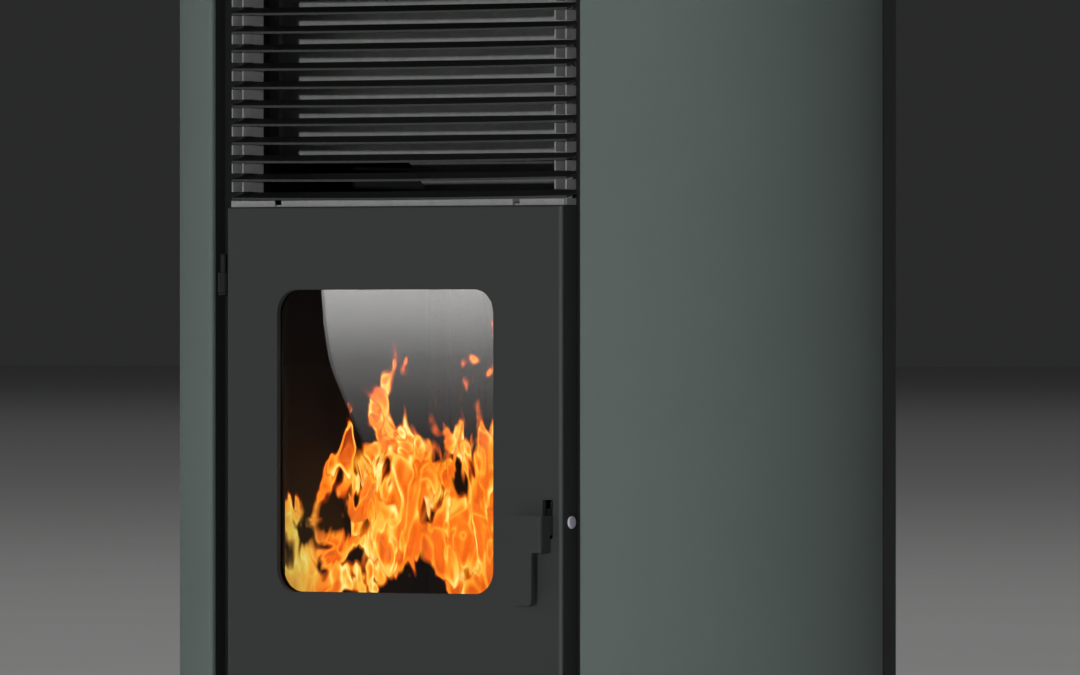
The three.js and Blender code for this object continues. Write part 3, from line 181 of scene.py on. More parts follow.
def arc_point(angle, depth=0.0):
    radius = SIDE_RADIUS - depth
    return ARC_X + radius * math.sin(angle), -radius * math.cos(angle)


def side_arc(steps):
    """The curve of the right side, from the front opening round to the rear."""
    return [arc_point(PANEL_START + (PANEL_END - PANEL_START) * k / steps)
            for k in range(steps + 1)]


# ---- modelling
def only(*objects):
    """Selects these objects alone and makes the first one active."""
    bpy.ops.object.select_all(action="DESELECT")
    for obj in objects:
        obj.select_set(True)
    bpy.context.view_layer.objects.active = objects[0]


@contextlib.contextmanager
def editing(obj):
    """Edit mode on one object, with all of it selected at first."""
    only(obj)
    bpy.ops.object.mode_set(mode="EDIT")
    bpy.ops.mesh.select_all(action="SELECT")
    yield
    bpy.ops.object.mode_set(mode="OBJECT")


def pick(obj, kind, test):
    """Selects faces or edges by a test on their middle and their normal or run."""
    bpy.ops.mesh.select_mode(type=kind)
    bpy.ops.mesh.select_all(action="DESELECT")
    mesh = bmesh.from_edit_mesh(obj.data)
    if kind == "FACE":
        chosen = [face for face in mesh.faces if test(face.calc_center_median(), face.normal)]
    else:
        chosen = []
        for edge in mesh.edges:
            a, b = (vert.co for vert in edge.verts)
            if test((a + b) / 2, (b - a).normalized()):
                chosen.append(edge)
    if not chosen:
        raise RuntimeError(f"nothing to select on {obj.name}")
    for item in chosen:
        item.select_set(True)
    mesh.select_flush_mode()
    bmesh.update_edit_mesh(obj.data)


def extrude(x=0.0, y=0.0, z=0.0):
    """Draws out what is selected by a move in millimetres."""
    bpy.ops.mesh.extrude_region_move(
        TRANSFORM_OT_translate={"value": (x * MM, y * MM, z * MM)})


def outward(obj):
    with editing(obj):
        bpy.ops.mesh.remove_doubles(threshold=1e-6)
        bpy.ops.mesh.normals_make_consistent(inside=False)
    return obj


def modify(obj, kind, **settings):
    only(obj)
    modifier = obj.modifiers.new(kind.title(), kind)
    for key, value in settings.items():
        setattr(modifier, key, value)
    bpy.ops.object.modifier_apply(modifier=modifier.name)
    return obj


def bevel(obj, width, segments=2, angle=40):
    return modify(obj, "BEVEL", width=width * MM, segments=segments, limit_method="ANGLE",
                  angle_limit=math.radians(angle), miter_outer="MITER_ARC")


def added(operator, **settings):
    """Adds a primitive with nothing else selected, its place, turn and scale in its mesh."""
    bpy.ops.object.select_all(action="DESELECT")
    operator(**settings)
    bpy.ops.object.transform_apply(location=True, rotation=True, scale=True)
    return bpy.context.object


def block(x, y, z):
    """A cube primitive between its lowest and highest X, Y and Z."""
    low, high = at(x[0], y[0], z[0]), at(x[1], y[1], z[1])
    return added(bpy.ops.mesh.primitive_cube_add,
                 size=1, location=(low + high) / 2, scale=high - low)


def rod(axis, radius, span, centre, sides=32):
    """A cylinder primitive along an axis, its centre line through centre."""
    turn = {"x": (0, math.pi / 2, 0), "y": (math.pi / 2, 0, 0), "z": (0, 0, 0)}[axis]
    return added(bpy.ops.mesh.primitive_cylinder_add,
                 vertices=sides, radius=radius * MM, depth=(span[1] - span[0]) * MM,
                 location=on_plane(axis, *centre, (span[0] + span[1]) / 2), rotation=turn)


def face_through(points):
    """A circle primitive's face, its corners put at these points."""
    obj = added(bpy.ops.mesh.primitive_circle_add, vertices=len(points), fill_type="NGON")
    for vert, point in zip(obj.data.vertices, points):
        vert.co = point
    return obj


def plate(axis, points, span):
    """A flat outline drawn out along an axis."""
    obj = face_through([on_plane(axis, a, b, span[0]) for a, b in points])
    with editing(obj):
        extrude(**{axis: span[1] - span[0]})
    return outward(obj)


def slab(axis, a, b, radius, span, steps):
    """A rectangular plate with rounded corners."""
    return plate(axis, rounded(rectangle(a, b, radius), steps), span)


def edge_start(points):
    """A plane primitive cut down to its first corners, put at these points."""
    obj = added(bpy.ops.mesh.primitive_plane_add, size=1)
    with editing(obj):
        bpy.ops.mesh.select_mode(type="VERT")
        bpy.ops.mesh.select_all(action="DESELECT")
        mesh = bmesh.from_edit_mesh(obj.data)
        mesh.verts.ensure_lookup_table()
        for number in range(len(points), 4):
            mesh.verts[number].select_set(True)
        bmesh.update_edit_mesh(obj.data)
        bpy.ops.mesh.delete(type="VERT")
    for vert, point in zip(obj.data.vertices, points):
        vert.co = point
    return obj


def run_along(obj, path):
    """Draws the start out from point to point of a path in metres."""
    with editing(obj):
        bpy.ops.mesh.select_mode(type="VERT")
        bpy.ops.mesh.select_all(action="SELECT")
        for before, after in zip(path, path[1:]):
            bpy.ops.mesh.extrude_region_move(TRANSFORM_OT_translate={"value": after - before})


def folded_sheet(axis, path, span, thickness, side):
    """Sheet metal: an edge along an axis is drawn along a path and gets its thickness."""
    line = [on_plane(axis, a, b, span[0]) for a, b in path]
    obj = edge_start([line[0], on_plane(axis, *path[0], span[1])])
    run_along(obj, line)
    modify(obj, "SOLIDIFY", thickness=thickness * MM, offset=side, use_even_offset=True)
    return outward(obj)


def lathe(axis, profile, centre, steps=48, closed=False):
    """A profile of (radius, along) points spun round an axis through centre."""
    unit = {"x": Vector((1, 0, 0)), "y": Vector((0, 1, 0)), "z": Vector((0, 0, 1))}
    away = unit[{"x": "z", "y": "x", "z": "x"}[axis]]
    base = on_plane(axis, *centre, 0)
    line = [base + (unit[axis] * along + away * radius) * MM for radius, along in profile]
    if closed:
        line.append(line[0])
    obj = edge_start(line[:1])
    run_along(obj, line)
    with editing(obj):
        bpy.ops.mesh.spin(steps=steps, angle=math.tau, center=base, axis=unit[axis])
    return outward(obj)


def joined(*objects):
    only(*objects)
    bpy.ops.object.join()
    return objects[0]


def boolean(obj, operation, tools):
    for tool in tools:
        modify(obj, "BOOLEAN", operation=operation, object=tool, solver="EXACT")
        bpy.data.objects.remove(tool)
    return obj


def cut(obj, *tools):
    return boolean(obj, "DIFFERENCE", tools)


def weld(obj, *others):
    return boolean(obj, "UNION", others)


def linked(name, data):
    obj = bpy.data.objects.new(name, data)
    bpy.context.scene.collection.objects.link(obj)
    return obj


def turned(obj, matrix):
    """A copy with its own mesh, turned and moved by a matrix."""
    twin = linked(obj.name, obj.data.copy())
    twin.data.transform(matrix)
    return twin


def copies(obj, moves):
    """Copies of a piece at these moves in millimetres, instead of the piece."""
    twins = [turned(obj, Matrix.Translation([value * MM for value in move])) for move in moves]
    bpy.data.objects.remove(obj)
    return twins


def mirrored(obj):
    """The same piece on the other side."""
    return outward(turned(obj, Matrix.Scale(-1, 4, Vector((1, 0, 0)))))


def copy_of(node):
    """A merged copy of a node's mesh, its flat faces made whole."""
    obj = linked(node + "_copy", frame["nodes"][node].data.copy())
    obj.data.materials.clear()
    with editing(obj):
        bpy.ops.mesh.remove_doubles(threshold=1e-6)
        bpy.ops.mesh.dissolve_limited(angle_limit=math.radians(0.5))
    return obj


SLOTS = {                            # the slot that a finish goes with, where the names differ
    "door_paint": "anthracite_paint", "slat_paint": "anthracite_paint",
    "rear_paint": "black_paint", "firebox_paint": "black_paint", "zinc_pin": "bare_steel",
    "flame": None, "ember": None,
}


def hand_over(obj, name, finish, *nodes, body="stove_body", slot=None, smooth=50):
    """Names a finished piece, gives it its finish and lets it ride on a body."""
    only(obj)
    bpy.ops.object.shade_smooth_by_angle(angle=math.radians(smooth))
    modify(obj, "WEIGHTED_NORMAL", keep_sharp=True)
    obj.name = obj.data.name = name
    obj.data.materials.clear()
    obj.data.materials.append(finish_for(finish))
    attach(obj, body)
    slot = slot or SLOTS.get(finish, finish)
    if nodes:
        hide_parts(*nodes)


# ---- finishes
def link(tree, value, socket):
    if isinstance(value, Value):
        tree.links.new(value.output, socket)
    else:
        socket.default_value = value


def maths(operation, reflected=False):
    """A method of Value that adds one Math node."""
    def method(self, *others):
        node = self.tree.nodes.new("ShaderNodeMath")
        node.operation = operation
        for socket, value in zip(node.inputs, (*others, self) if reflected else (self, *others)):
            link(self.tree, value, socket)
        return Value(self.tree, node.outputs[0])
    return method


class Value:
    """A node's output. Arithmetic on it adds Math nodes."""

    def __init__(self, tree, output):
        self.tree = tree
        self.output = output

    __add__ = __radd__ = maths("ADD")
    __sub__ = maths("SUBTRACT")
    __rsub__ = maths("SUBTRACT", reflected=True)
    __mul__ = __rmul__ = maths("MULTIPLY")
    __pow__ = maths("POWER")
    __abs__ = maths("ABSOLUTE")
    sine = maths("SINE")
    larger = maths("MAXIMUM")

    def step(self, low, high):
        """0 below low, 1 above high, and a smooth rise between."""
        node = self.tree.nodes.new("ShaderNodeMapRange")
        node.interpolation_type = "SMOOTHSTEP"
        for socket, value in zip(node.inputs, (self, low, high, 0.0, 1.0)):
            link(self.tree, value, socket)
        return Value(self.tree, node.outputs[0])

    def fall(self, low, high):
        return 1.0 - self.step(low, high)

    def crest(self):
        """1 where the value is a half, and 0 at 0 and 1."""
        return 1.0 - abs(self * 2.0 - 1.0)


class Finish:
    """A material with one Principled shader, whose patterns follow the object's own metres."""

    def __init__(self, **uniform):
        self.material = bpy.data.materials.new("finish")
        self.material.use_nodes = True
        self.tree = self.material.node_tree
        self.tree.nodes.clear()
        self.shader = self.tree.nodes.new("ShaderNodeBsdfPrincipled")
        surface = self.tree.nodes.new("ShaderNodeOutputMaterial").inputs["Surface"]
        self.tree.links.new(self.shader.outputs[0], surface)
        self.set(**uniform)
        self.place = self.node("ShaderNodeTexCoord", output="Object")

    def node(self, kind, sockets=None, output=0, **settings):
        node = self.tree.nodes.new(kind)
        for key, value in settings.items():
            setattr(node, key, value)
        for key, value in (sockets or {}).items():
            link(self.tree, value, node.inputs[key])
        return Value(self.tree, node.outputs[output])

    def set(self, **inputs):
        for key, value in inputs.items():
            link(self.tree, value, self.shader.inputs[key.replace("_", " ")])

    def stretched(self, x=1.0, y=1.0, z=1.0, turn=(0, 0, 0)):
        return self.node("ShaderNodeMapping", {
            "Vector": self.place, "Scale": (x, y, z), "Rotation": turn})

    def noise(self, size, detail=2.0, where=None, distortion=0.0, roughness=0.5):
        """Noise from 0 to 1 whose features are about size millimetres across."""
        return self.node("ShaderNodeTexNoise", {
            "Vector": where or self.place, "Scale": 1 / (size * MM), "Detail": detail,
            "Distortion": distortion, "Roughness": roughness})

    def cells(self, size, output, **settings):
        return self.node("ShaderNodeTexVoronoi", {
            "Vector": self.place, "Scale": 1 / (size * MM)}, output=output, **settings)

    def crystals(self, size):
        """A tone from 0 to 1 for each cell about size millimetres across."""
        return self.node("ShaderNodeSeparateColor", {"Color": self.cells(size, "Color")})

    def along(self, axis, vector=None):
        return self.node("ShaderNodeSeparateXYZ", {"Vector": vector or self.place}, output=axis)

    def between(self, first, second, share):
        node = self.tree.nodes.new("ShaderNodeMix")
        node.data_type = "RGBA"
        for number, value in ((0, share), (6, first), (7, second)):
            if isinstance(value, tuple):
                value = (*value, 1)
            link(self.tree, value, node.inputs[number])
        return Value(self.tree, node.outputs[2])

    def tones(self, colour, dark, light, share):
        """A colour that varies between two factors of itself."""
        return self.between(shade(colour, dark), shade(colour, light), share)

    def ramp(self, share, stops):
        node = self.tree.nodes.new("ShaderNodeValToRGB")
        elements = node.color_ramp.elements
        while len(elements) < len(stops):
            elements.new(0.5)
        for element, (position, tint) in zip(elements, stops):
            element.position = position
            element.color = (*tint, 1)
        link(self.tree, share, node.inputs[0])
        return Value(self.tree, node.outputs[0])

    def skin(self, colour, roughness, height=None, depth=0.0):
        """Gives the shader its colour, roughness and relief in millimetres."""
        self.set(Base_Color=colour, Roughness=roughness)
        if height is not None:
            self.set(Normal=self.node("ShaderNodeBump", {
                "Height": height, "Distance": depth * MM, "Strength": 1.0}))
        return self.material


def shade(colour, factor):
    return tuple(channel * factor for channel in colour)


def powder_coat(colour, roughness, gloss=0.2, inside=None, painted_top_shade=False, painted_fold_highlight=False):
    """Fine-textured powder coat: tiny orange peel, slow shifts of tone, rubbed spots.

    What lies in the opening behind the front fold can take a painted shade in a colour of its
    own, what faces upwards can take a painted shade, and the door's right front fold can
    take a painted highlight.
    """
    finish = Finish(IOR=1.5, Specular_IOR_Level=gloss)
    slow = finish.noise(110, detail=3)
    fine = finish.noise(1.1, detail=3)
    tone = finish.tones(colour, 0.93, 1.06, slow)
    rubbed = finish.noise(45, detail=4, roughness=0.7).step(0.55, 0.8)
    # painted shade: the return deep in the opening behind the front fold takes the inside colour
    if inside:
        depth = at(0, FRONT + 5.5, 0).y
        recess_shade = finish.along("Y").step(depth, depth + 0.3 * MM)
        recess_shade *= abs(finish.along("X")).fall(OPENING * MM + 1e-4, OPENING * MM + 4e-4)
        tone = finish.between(tone, inside, recess_shade)
    # painted highlight: the door's right front fold is painted paler
    if painted_fold_highlight:
        start, front = (DOOR_HALF - 3.4) * MM, at(0, FRONT, 0).y
        rim = finish.along("X").step(start, start + 0.002)
        rim *= finish.along("Y").fall(front + 0.0018, front + 0.0030)
        tone = finish.between(tone, shade(colour, 2.1), rim)
    # painted shade: faces that point upwards are painted darker
    if painted_top_shade:
        upward = finish.along("Z", finish.node("ShaderNodeNewGeometry", output="Normal"))
        tone = finish.between(tone, shade(colour, 0.2), upward.step(0.5, 0.9))
    return finish.skin(
        finish.between(tone, shade(colour, 1.12), fine.step(0.5, 0.75) * 0.1),
        roughness + (slow - 0.5) * 0.06 - rubbed * 0.04 + (fine - 0.5) * 0.08, fine, 0.05)


def heat_paint(colour):
    """High-temperature paint that ash and soot have dulled, most near the bottom."""
    finish = Finish(IOR=1.4)
    cloud = finish.noise(60, detail=5, roughness=0.65)
    grit = finish.noise(2.2, detail=4)
    ash = (finish.along("Z").fall(0.36, 0.62) * cloud.step(0.35, 0.7)) * 0.55
    tone = finish.tones(colour, 1, 2.2, grit)
    return finish.skin(finish.between(tone, (0.032, 0.029, 0.026), ash),
                       0.72 + (cloud - 0.5) * 0.2, grit, 0.12)


def cast_iron(colour):
    """Sand-cast iron with a coarse skin and a brown bloom from heat."""
    finish = Finish(Metallic=0.35, IOR=1.6)
    skin = finish.noise(1.6, detail=5, roughness=0.7)
    bloom = finish.noise(38, detail=4)
    tone = finish.between(colour, (0.026, 0.017, 0.012), bloom.step(0.5, 0.85) * 0.6)
    return finish.skin(finish.between(tone, (0.045, 0.042, 0.038), skin.step(0.55, 0.8) * 0.3),
                       0.62 + (skin - 0.5) * 0.3, skin, 0.35)


def galvanised(colour):
    """Dull hot-dip zinc: faint crystals of different brightness with soft borders."""
    finish = Finish(Metallic=0.25, IOR=1.5, Specular_IOR_Level=0.3)
    crystal = finish.crystals(7)
    border = finish.cells(7, "Distance", feature="DISTANCE_TO_EDGE").step(0.0, 0.12)
    haze = finish.noise(30, detail=4)
    return finish.skin(finish.tones(colour, 0.93, 1.05, crystal),
                       0.56 + crystal * 0.04 + (haze - 0.5) * 0.08,
                       border * 0.5 + haze * 0.5, 0.03)


def brushed_steel(colour):
    """Bare steel drawn in one direction, with faint stains."""
    finish = Finish(Metallic=1.0, IOR=2.5)
    lines = finish.noise(9, detail=3, where=finish.stretched(x=40.0))
    stain = finish.noise(16, detail=4)
    return finish.skin(finish.tones(colour, 0.85, 1.1, lines),
                       0.24 + lines * 0.14 + stain.step(0.5, 0.8) * 0.12, lines, 0.02)


def gasket_rope(colour):
    """Knitted glass-fibre rope: two sets of crossing strands."""
    finish = Finish(Sheen_Weight=0.25, IOR=1.4)
    x, z = finish.along("X"), finish.along("Z")
    pitch = math.tau / (3.2 * MM)
    weave = ((x + z) * pitch).sine().larger(((x - z) * pitch).sine()) * 0.5 + 0.5
    fuzz = finish.noise(0.8, detail=3)
    return finish.skin(
        finish.tones(colour, 0.55, 1.6, weave * 0.7 + fuzz * 0.3),
        0.86 + (fuzz - 0.5) * 0.2, weave + fuzz * 0.3, 0.6)


def vermiculite(colour):
    """Pressed vermiculite board: pale flakes, sooty patches."""
    finish = Finish(IOR=1.3)
    flake = finish.crystals(2.4)
    soot = finish.noise(55, detail=4).step(0.4, 0.75)
    tone = finish.tones(colour, 0.7, 1.15, flake)
    return finish.skin(finish.between(tone, (0.03, 0.027, 0.024), soot * 0.8),
                       0.85 + (flake - 0.5) * 0.15, flake, 0.3)


def moulded(colour, roughness, size, depth):
    """Moulded rubber or plastic with a fine eroded grain."""
    finish = Finish(IOR=1.48)
    grain = finish.noise(size, detail=3)
    dust = finish.noise(20, detail=4).step(0.5, 0.8)
    return finish.skin(finish.tones(colour, 1, 2.2, dust * 0.4 + grain * 0.2),
                       roughness + (grain - 0.5) * 0.12, grain, depth)


def panel_glass():
    """Black glass of the touch panel, faintly smeared."""
    finish = Finish(IOR=1.52)
    smear = finish.noise(18, detail=4, where=finish.stretched(y=2.5)).step(0.45, 0.8)
    return finish.skin(finish.between((0.004, 0.004, 0.005), (0.012, 0.012, 0.013), smear),
                       0.10 + smear * 0.05, smear, 0.0005)


def fire_glass():
    """Ceramic fire glass, clear with a breath of soot near its edges."""
    finish = Finish(IOR=1.5, Transmission_Weight=1.0, Specular_IOR_Level=0.5)
    x, z = finish.along("X"), finish.along("Z")
    middle = [sum(span) / 2 * MM for span in (WINDOW_X, WINDOW_Z)]
    reach = abs(x - middle[0]).step(0.075, 0.112) + abs(z - middle[1]).step(0.09, 0.123)
    soot = reach * finish.noise(30, detail=4)
    return finish.skin(finish.between((0.93, 0.92, 0.90), (0.62, 0.58, 0.52), soot * 0.6),
                       0.001 + soot * 0.004)


FLAME_TOPS = [                       # across the window from the left, and up, in millimetres
    (-117, 546), (-94, 556), (-72, 582), (-50, 616), (-34, 640), (-8, 692), (8, 672), (30, 660),
    (42, 670), (60, 655), (84, 676), (101, 684)]


def flame_finish():
    """Fire: lobes with bright rims and filaments in an orange body, deep red where it thins out.

    Its outline is drawn as it is seen through the window, so every sheet shares it.
    """
    finish = Finish(Base_Color=(0, 0, 0, 1), Roughness=1.0, Emission_Strength=1.25)
    x, y, z = (finish.along(axis) for axis in "XYZ")
    window = (x + (y - at(0, FRONT, 0).y) * 0.75) * 1000.0
    up = z * 1000.0
    first, last = FLAME_TOPS[0][0], FLAME_TOPS[-1][0]
    stops = [((a - first) / (last - first), ((top - 500) / 200,) * 3) for a, top in FLAME_TOPS]
    top = finish.ramp((window - first) * (1 / (last - first)), stops) * 200.0 + 500.0
    under = top - up
    lean = finish.stretched(1.1, 1.1, 0.62, turn=(0, 0.35, 0))
    lick = finish.noise(58, detail=1.2, where=lean, distortion=1.5)
    wisp = finish.noise(27, detail=1.2, where=finish.stretched(1.1, 1.1, 0.6), distortion=1.8)
    slow = finish.noise(60, detail=1, where=finish.stretched(z=0.8))
    full = under.step(-14, 120) * 0.155 + under.step(-34, 4) * 0.235
    full -= under.fall(-50, -12) * 0.4                             # nothing high above the tops
    full -= up.fall(486, 530) * window.step(-50, 10) * 0.16        # a gap in the middle below
    full += window.fall(-98, -62) * 0.10 + window.step(45, 90) * under.step(-5, 30) * 0.10
    full -= up.fall(452, 486) * 0.42                               # ragged towards the bottom
    full -= window.step(100, 110) * 0.6                            # ragged past the window
    inside = lick + (wisp - 0.5) * 0.30 - 0.86 + full
    rim = inside.step(0.0, 0.03) * inside.fall(0.04, 0.13)
    heat = 0.31 + rim * slow.step(0.36, 0.6) * 0.44 + wisp.crest() ** 9.0 * 0.30 + inside * 0.5
    heat -= under.fall(0, 60) * 0.16
    glow = finish.ramp(heat, [
        (0.08, (0.08, 0.004, 0.001)), (0.26, (0.48, 0.040, 0.002)), (0.42, (0.93, 0.145, 0.005)),
        (0.60, (1.0, 0.29, 0.014)), (0.78, (1.0, 0.55, 0.065)), (0.98, (1.0, 0.86, 0.30))])
    pale = window.fall(-98, -62) * up.fall(535, 565)
    finish.set(Emission_Color=finish.between(glow, (0.50, 0.47, 0.08), pale * 0.6),
               Alpha=inside.step(-0.03, 0.035) * (0.5 + heat.step(0.1, 0.5) * 0.5))
    return finish.material


def ember_finish():
    """Burning pellets: charred skin with glowing cracks, ash on top."""
    finish = Finish(Emission_Strength=3.0, IOR=1.3)
    crack = finish.noise(5, detail=4, distortion=0.8)
    finish.set(Emission_Color=finish.ramp(crack.crest() ** 4.0, [
        (0.15, (0.02, 0.001, 0.0)), (0.5, (0.8, 0.08, 0.004)), (0.95, (1.0, 0.45, 0.06))]))
    return finish.skin(
        finish.between((0.012, 0.008, 0.006), (0.16, 0.13, 0.11), crack.step(0.6, 0.8)),
        0.9 + (crack - 0.5) * 0.1, crack, 0.4)


def studio_floor(colour):
    finish = Finish(IOR=1.4)
    cloud = finish.noise(900, detail=3)
    return finish.skin(finish.tones(colour, 0.97, 1.03, cloud),
                       0.6 + (cloud - 0.5) * 0.1)


FINISHES = {}


def finish_for(name):
    """Makes a finish the first time that it is asked for."""
    if name in FINISHES:
        return FINISHES[name]

    def tint(key):
        return tuple(getattr(bpy.context.scene.stove_colours, key))

    makers = {
        # the side panels carry painted shade on their returns deep in the opening
        "green_paint": lambda: powder_coat(tint("panel"), 0.74, 0.08, inside=tint("frame")),
        "anthracite_paint": lambda: powder_coat(tint("front"), 0.66),
        # the door carries a painted highlight on its right front fold
        "door_paint": lambda: powder_coat(tint("front"), 0.66, painted_fold_highlight=True),
        # the slats carry painted shade on their upper faces
        "slat_paint": lambda: powder_coat(tint("front"), 0.66, painted_top_shade=True),
        "rear_paint": lambda: powder_coat(tint("frame"), 0.85, 0.05),
        "black_paint": lambda: powder_coat(shade(tint("frame"), 0.8), 0.62, 0.1),
        "firebox_paint": lambda: heat_paint(tint("firebox")),
        "cast_iron": lambda: cast_iron(tint("iron")),
        "galvanised": lambda: galvanised(tint("zinc")),
        "bare_steel": lambda: brushed_steel(tint("steel")),
        "zinc_pin": lambda: galvanised((0.62, 0.60, 0.70)),
        "rope": lambda: gasket_rope(tint("rope")),
        "firebrick": lambda: vermiculite(tint("brick")),
        "rubber": lambda: moulded(tint("rubber"), 0.75, 1.2, 0.06),
        "black_plastic": lambda: moulded(tint("plastic"), 0.45, 0.6, 0.04),
        "display_glass": panel_glass,
        "glass": fire_glass,
        "flame": flame_finish,
        "ember": ember_finish,
        "floor": lambda: studio_floor(tint("floor")),
    }
    FINISHES[name] = makers[name]()
    FINISHES[name].name = name
    return FINISHES[name]


def sizes():
    return bpy.context.scene.stove_sizes


# ---- casing
def casing_outline():
    """The oval plan of the base and top, from the front right corner round to the front left."""
    half = side_arc(56) + [(REAR_HALF, REAR)]
    return half + [(-x, y) for x, y in reversed(half)]


def make_panel():
    fold = sizes().fold / MM
    arc = side_arc(72)
    corners = [(OPENING, FRONT + 20, 0), (OPENING, FRONT, fold)]
    corners += [(x, y, 0) for x, y in arc[1:-1]]
    corners += [(*arc[-1], fold), (*arc_point(PANEL_END, 14), 0)]
    obj = folded_sheet("z", rounded(corners, closed=False), CASING_Z, SHEET, 1)
    return bevel(obj, sizes().edge / MM, 2, 50)


class STOVE_OT_panels(bpy.types.Operator):
    """Makes the two curved side panels from folded sheet"""
    bl_idname = "stove.panels"
    bl_label = "Side panels"

    def execute(self, context):
        right = make_panel()
        left = mirrored(right)
        for obj, side in ((right, "right"), (left, "left")):
            hand_over(obj, f"{side}_panel", "green_paint", f"side_panel_{side}")
        return {"FINISHED"}


def louvre_hood(x, z):
    """A pressed hood over a louvre slot, open at its lower edge."""
    return plate("x", rounded([
        (REAR - 0.2, z + 9, 0), (REAR - 0.2, z + 0.2, 0), (REAR + 3.0, z - 0.6, 0.4),
        (REAR + 3.4, z + 0.6, 0.6), (REAR + 1.2, z + 7, 2.0)], 3), about(x, 46))


def make_rear_casing():
    normal = Vector((math.cos(PANEL_END), math.sin(PANEL_END)))
    inward = Vector((-math.sin(PANEL_END), math.cos(PANEL_END)))
    first = Vector(arc_point(PANEL_END)) + normal * GAP
    lip = first + inward * 14
    right = [(lip.x, lip.y, 0), (first.x, first.y, 1.6), (REAR_HALF, REAR, 2.4)]
    left = [(-x, y, r) for x, y, r in reversed(right)]
    obj = folded_sheet("z", rounded(right + left, closed=False), CASING_Z, SHEET, 1)
    through = about(REAR, 10)
    tools = [
        rod("y", 42, through, FLUE, 64), rod("y", 26.5, through, AIR, 48),
        block(about(INLET[0], 14.3), through, about(INLET[1], 25.3))]
    slots = [block(about(x, 45), through, (z, z + 6)) for x, z in LOUVRES]
    cut(obj, *tools, joined(*slots))
    return bevel(obj, 0.3, 2, 50)


def screw():
    """A domed screw head with a cross-cut, standing on the rear face."""
    radius = 4.2
    dome = [(0, 2.0), (radius * 0.5, 1.8), (radius * 0.85, 1.1), (radius, 0.3), (radius, -0.2),
            (0, -0.2)]
    obj = lathe("y", [(r, REAR + h) for r, h in dome], (0, 0), 24)
    arms = [block(about(0, wide), (REAR + 0.9, REAR + 3), about(0, high))
            for wide, high in ((2.4, 0.45), (0.45, 2.4))]
    return cut(obj, *arms)


class STOVE_OT_rear(bpy.types.Operator):
    """Makes the folded rear casing with its louvres and screws"""
    bl_idname = "stove.rear"
    bl_label = "Rear casing"

    def execute(self, context):
        hand_over(make_rear_casing(), "rear_sheet", "rear_paint", "rear_casing")
        x0, z0 = LOUVRES[0]
        hoods = copies(louvre_hood(x0, z0), [(x - x0, 0, z - z0) for x, z in LOUVRES])
        hand_over(joined(*hoods), "louvre_hoods", "black_paint")
        places = [(side * 168, 0, z) for side in (-1, 1) for z in (60, 380, 700, 1020)]
        places += [(FLUE[0] + a * 38, 212.7 + 3.3 - REAR, FLUE[1] + b * 38)
                   for a in (-1, 1) for b in (-1, 1)]
        hand_over(joined(*copies(screw(), places)), "casing_screws", "bare_steel")
        return {"FINISHED"}


def dish(obj, rim, slope, depth):
    """Sinks the top face inside a rim."""
    with editing(obj):
        pick(obj, "FACE", lambda c, n: n.z > 0.9)
        bpy.ops.mesh.inset(thickness=rim * MM)
        bpy.ops.mesh.inset(thickness=slope * MM, depth=-depth * MM)


def make_top():
    obj = plate("z", casing_outline(), (CASING_TOP, TOP))
    mouth = slab("z", about(0, 140), (20, 212), 6, (1040, 1056), 5)
    cut(obj, mouth, block(about(0, 59.3), (-129.3, -80.7), (1040, 1056)))
    bevel(obj, 0.8, 3)
    y, z = LID_HINGE
    lugs = []
    for side in (-1, 1):
        lug = plate("x", rounded([
            (y - 4.6, TOP - 1, 0), (y + 4.6, TOP - 1, 0), (y + 5, z, 4.9), (y, z + 5, 4.9),
            (y - 5, z, 4.9)], 5), about(side * 105, 12))
        lugs.append(bevel(lug, 0.4))
    return joined(obj, *lugs, bevel(rod("x", 2.5, about(0, 118), LID_HINGE), 0.5))


def make_lid():
    bottom = TOP + GAP
    obj = slab("z", about(0, 150), (10, 222), 8, (bottom, bottom + 3), 6)
    dish(obj, 3, 1.0, 0.6)
    lip = bevel(block(about(0, 60), (10, 13), (bottom + 1.5, bottom + 12)), 1.2, 3)
    knuckles = []
    for centre in (-70, 70):
        x = about(centre, 14)
        strap = bevel(block(x, (218, LID_HINGE[0]), (bottom + 0.5, bottom + 3.5)), 0.4)
        eye = cut(rod("x", 5, x, LID_HINGE, 40), rod("x", 2.8, grown(x, 1), LID_HINGE))
        knuckles += [strap, eye]
    return joined(bevel(obj, 0.6, 3, 30), lip, *knuckles)


class STOVE_OT_top(bpy.types.Operator):
    """Makes the top plate, hopper lid and touch panel"""
    bl_idname = "stove.top"
    bl_label = "Top, lid and touch panel"

    def execute(self, context):
        hand_over(make_top(), "top_sheet", "anthracite_paint", "top_plate")
        hand_over(make_lid(), "lid_plate", "anthracite_paint", "hopper_lid", body="lid")
        z = TOP + GAP
        cap = slab("z", about(0, 62), (-132, -78), 5, (z, z + 1.5), 5)
        dish(cap, 1.4, 0.3, 0.25)
        tub = block(about(0, 59), (-129, -81), (1028, TOP + 1))
        panel = joined(bevel(cap, 0.4, 3, 30), bevel(tub, 1.0, 3))
        hand_over(panel, "touch_panel", "display_glass", "control_panel")
        ring = lathe("z", [(6.4, 0), (6.4, 0.25), (5.4, 0.25), (5.4, 0)], (0, 0), 40, closed=True)
        rings = copies(ring, [(x, -105, z + 1.2) for x in (-44, -22, 22, 44)])
        dashes = [bevel(block(about(0, 9), (y, y + 0.7), (z + 1.1, z + 1.4)), 0.05, 1)
                  for y in (-100.5, -110.2)]
        hand_over(joined(*rings, *dashes), "touch_marks", "bare_steel", slot="display_glass")
        return {"FINISHED"}


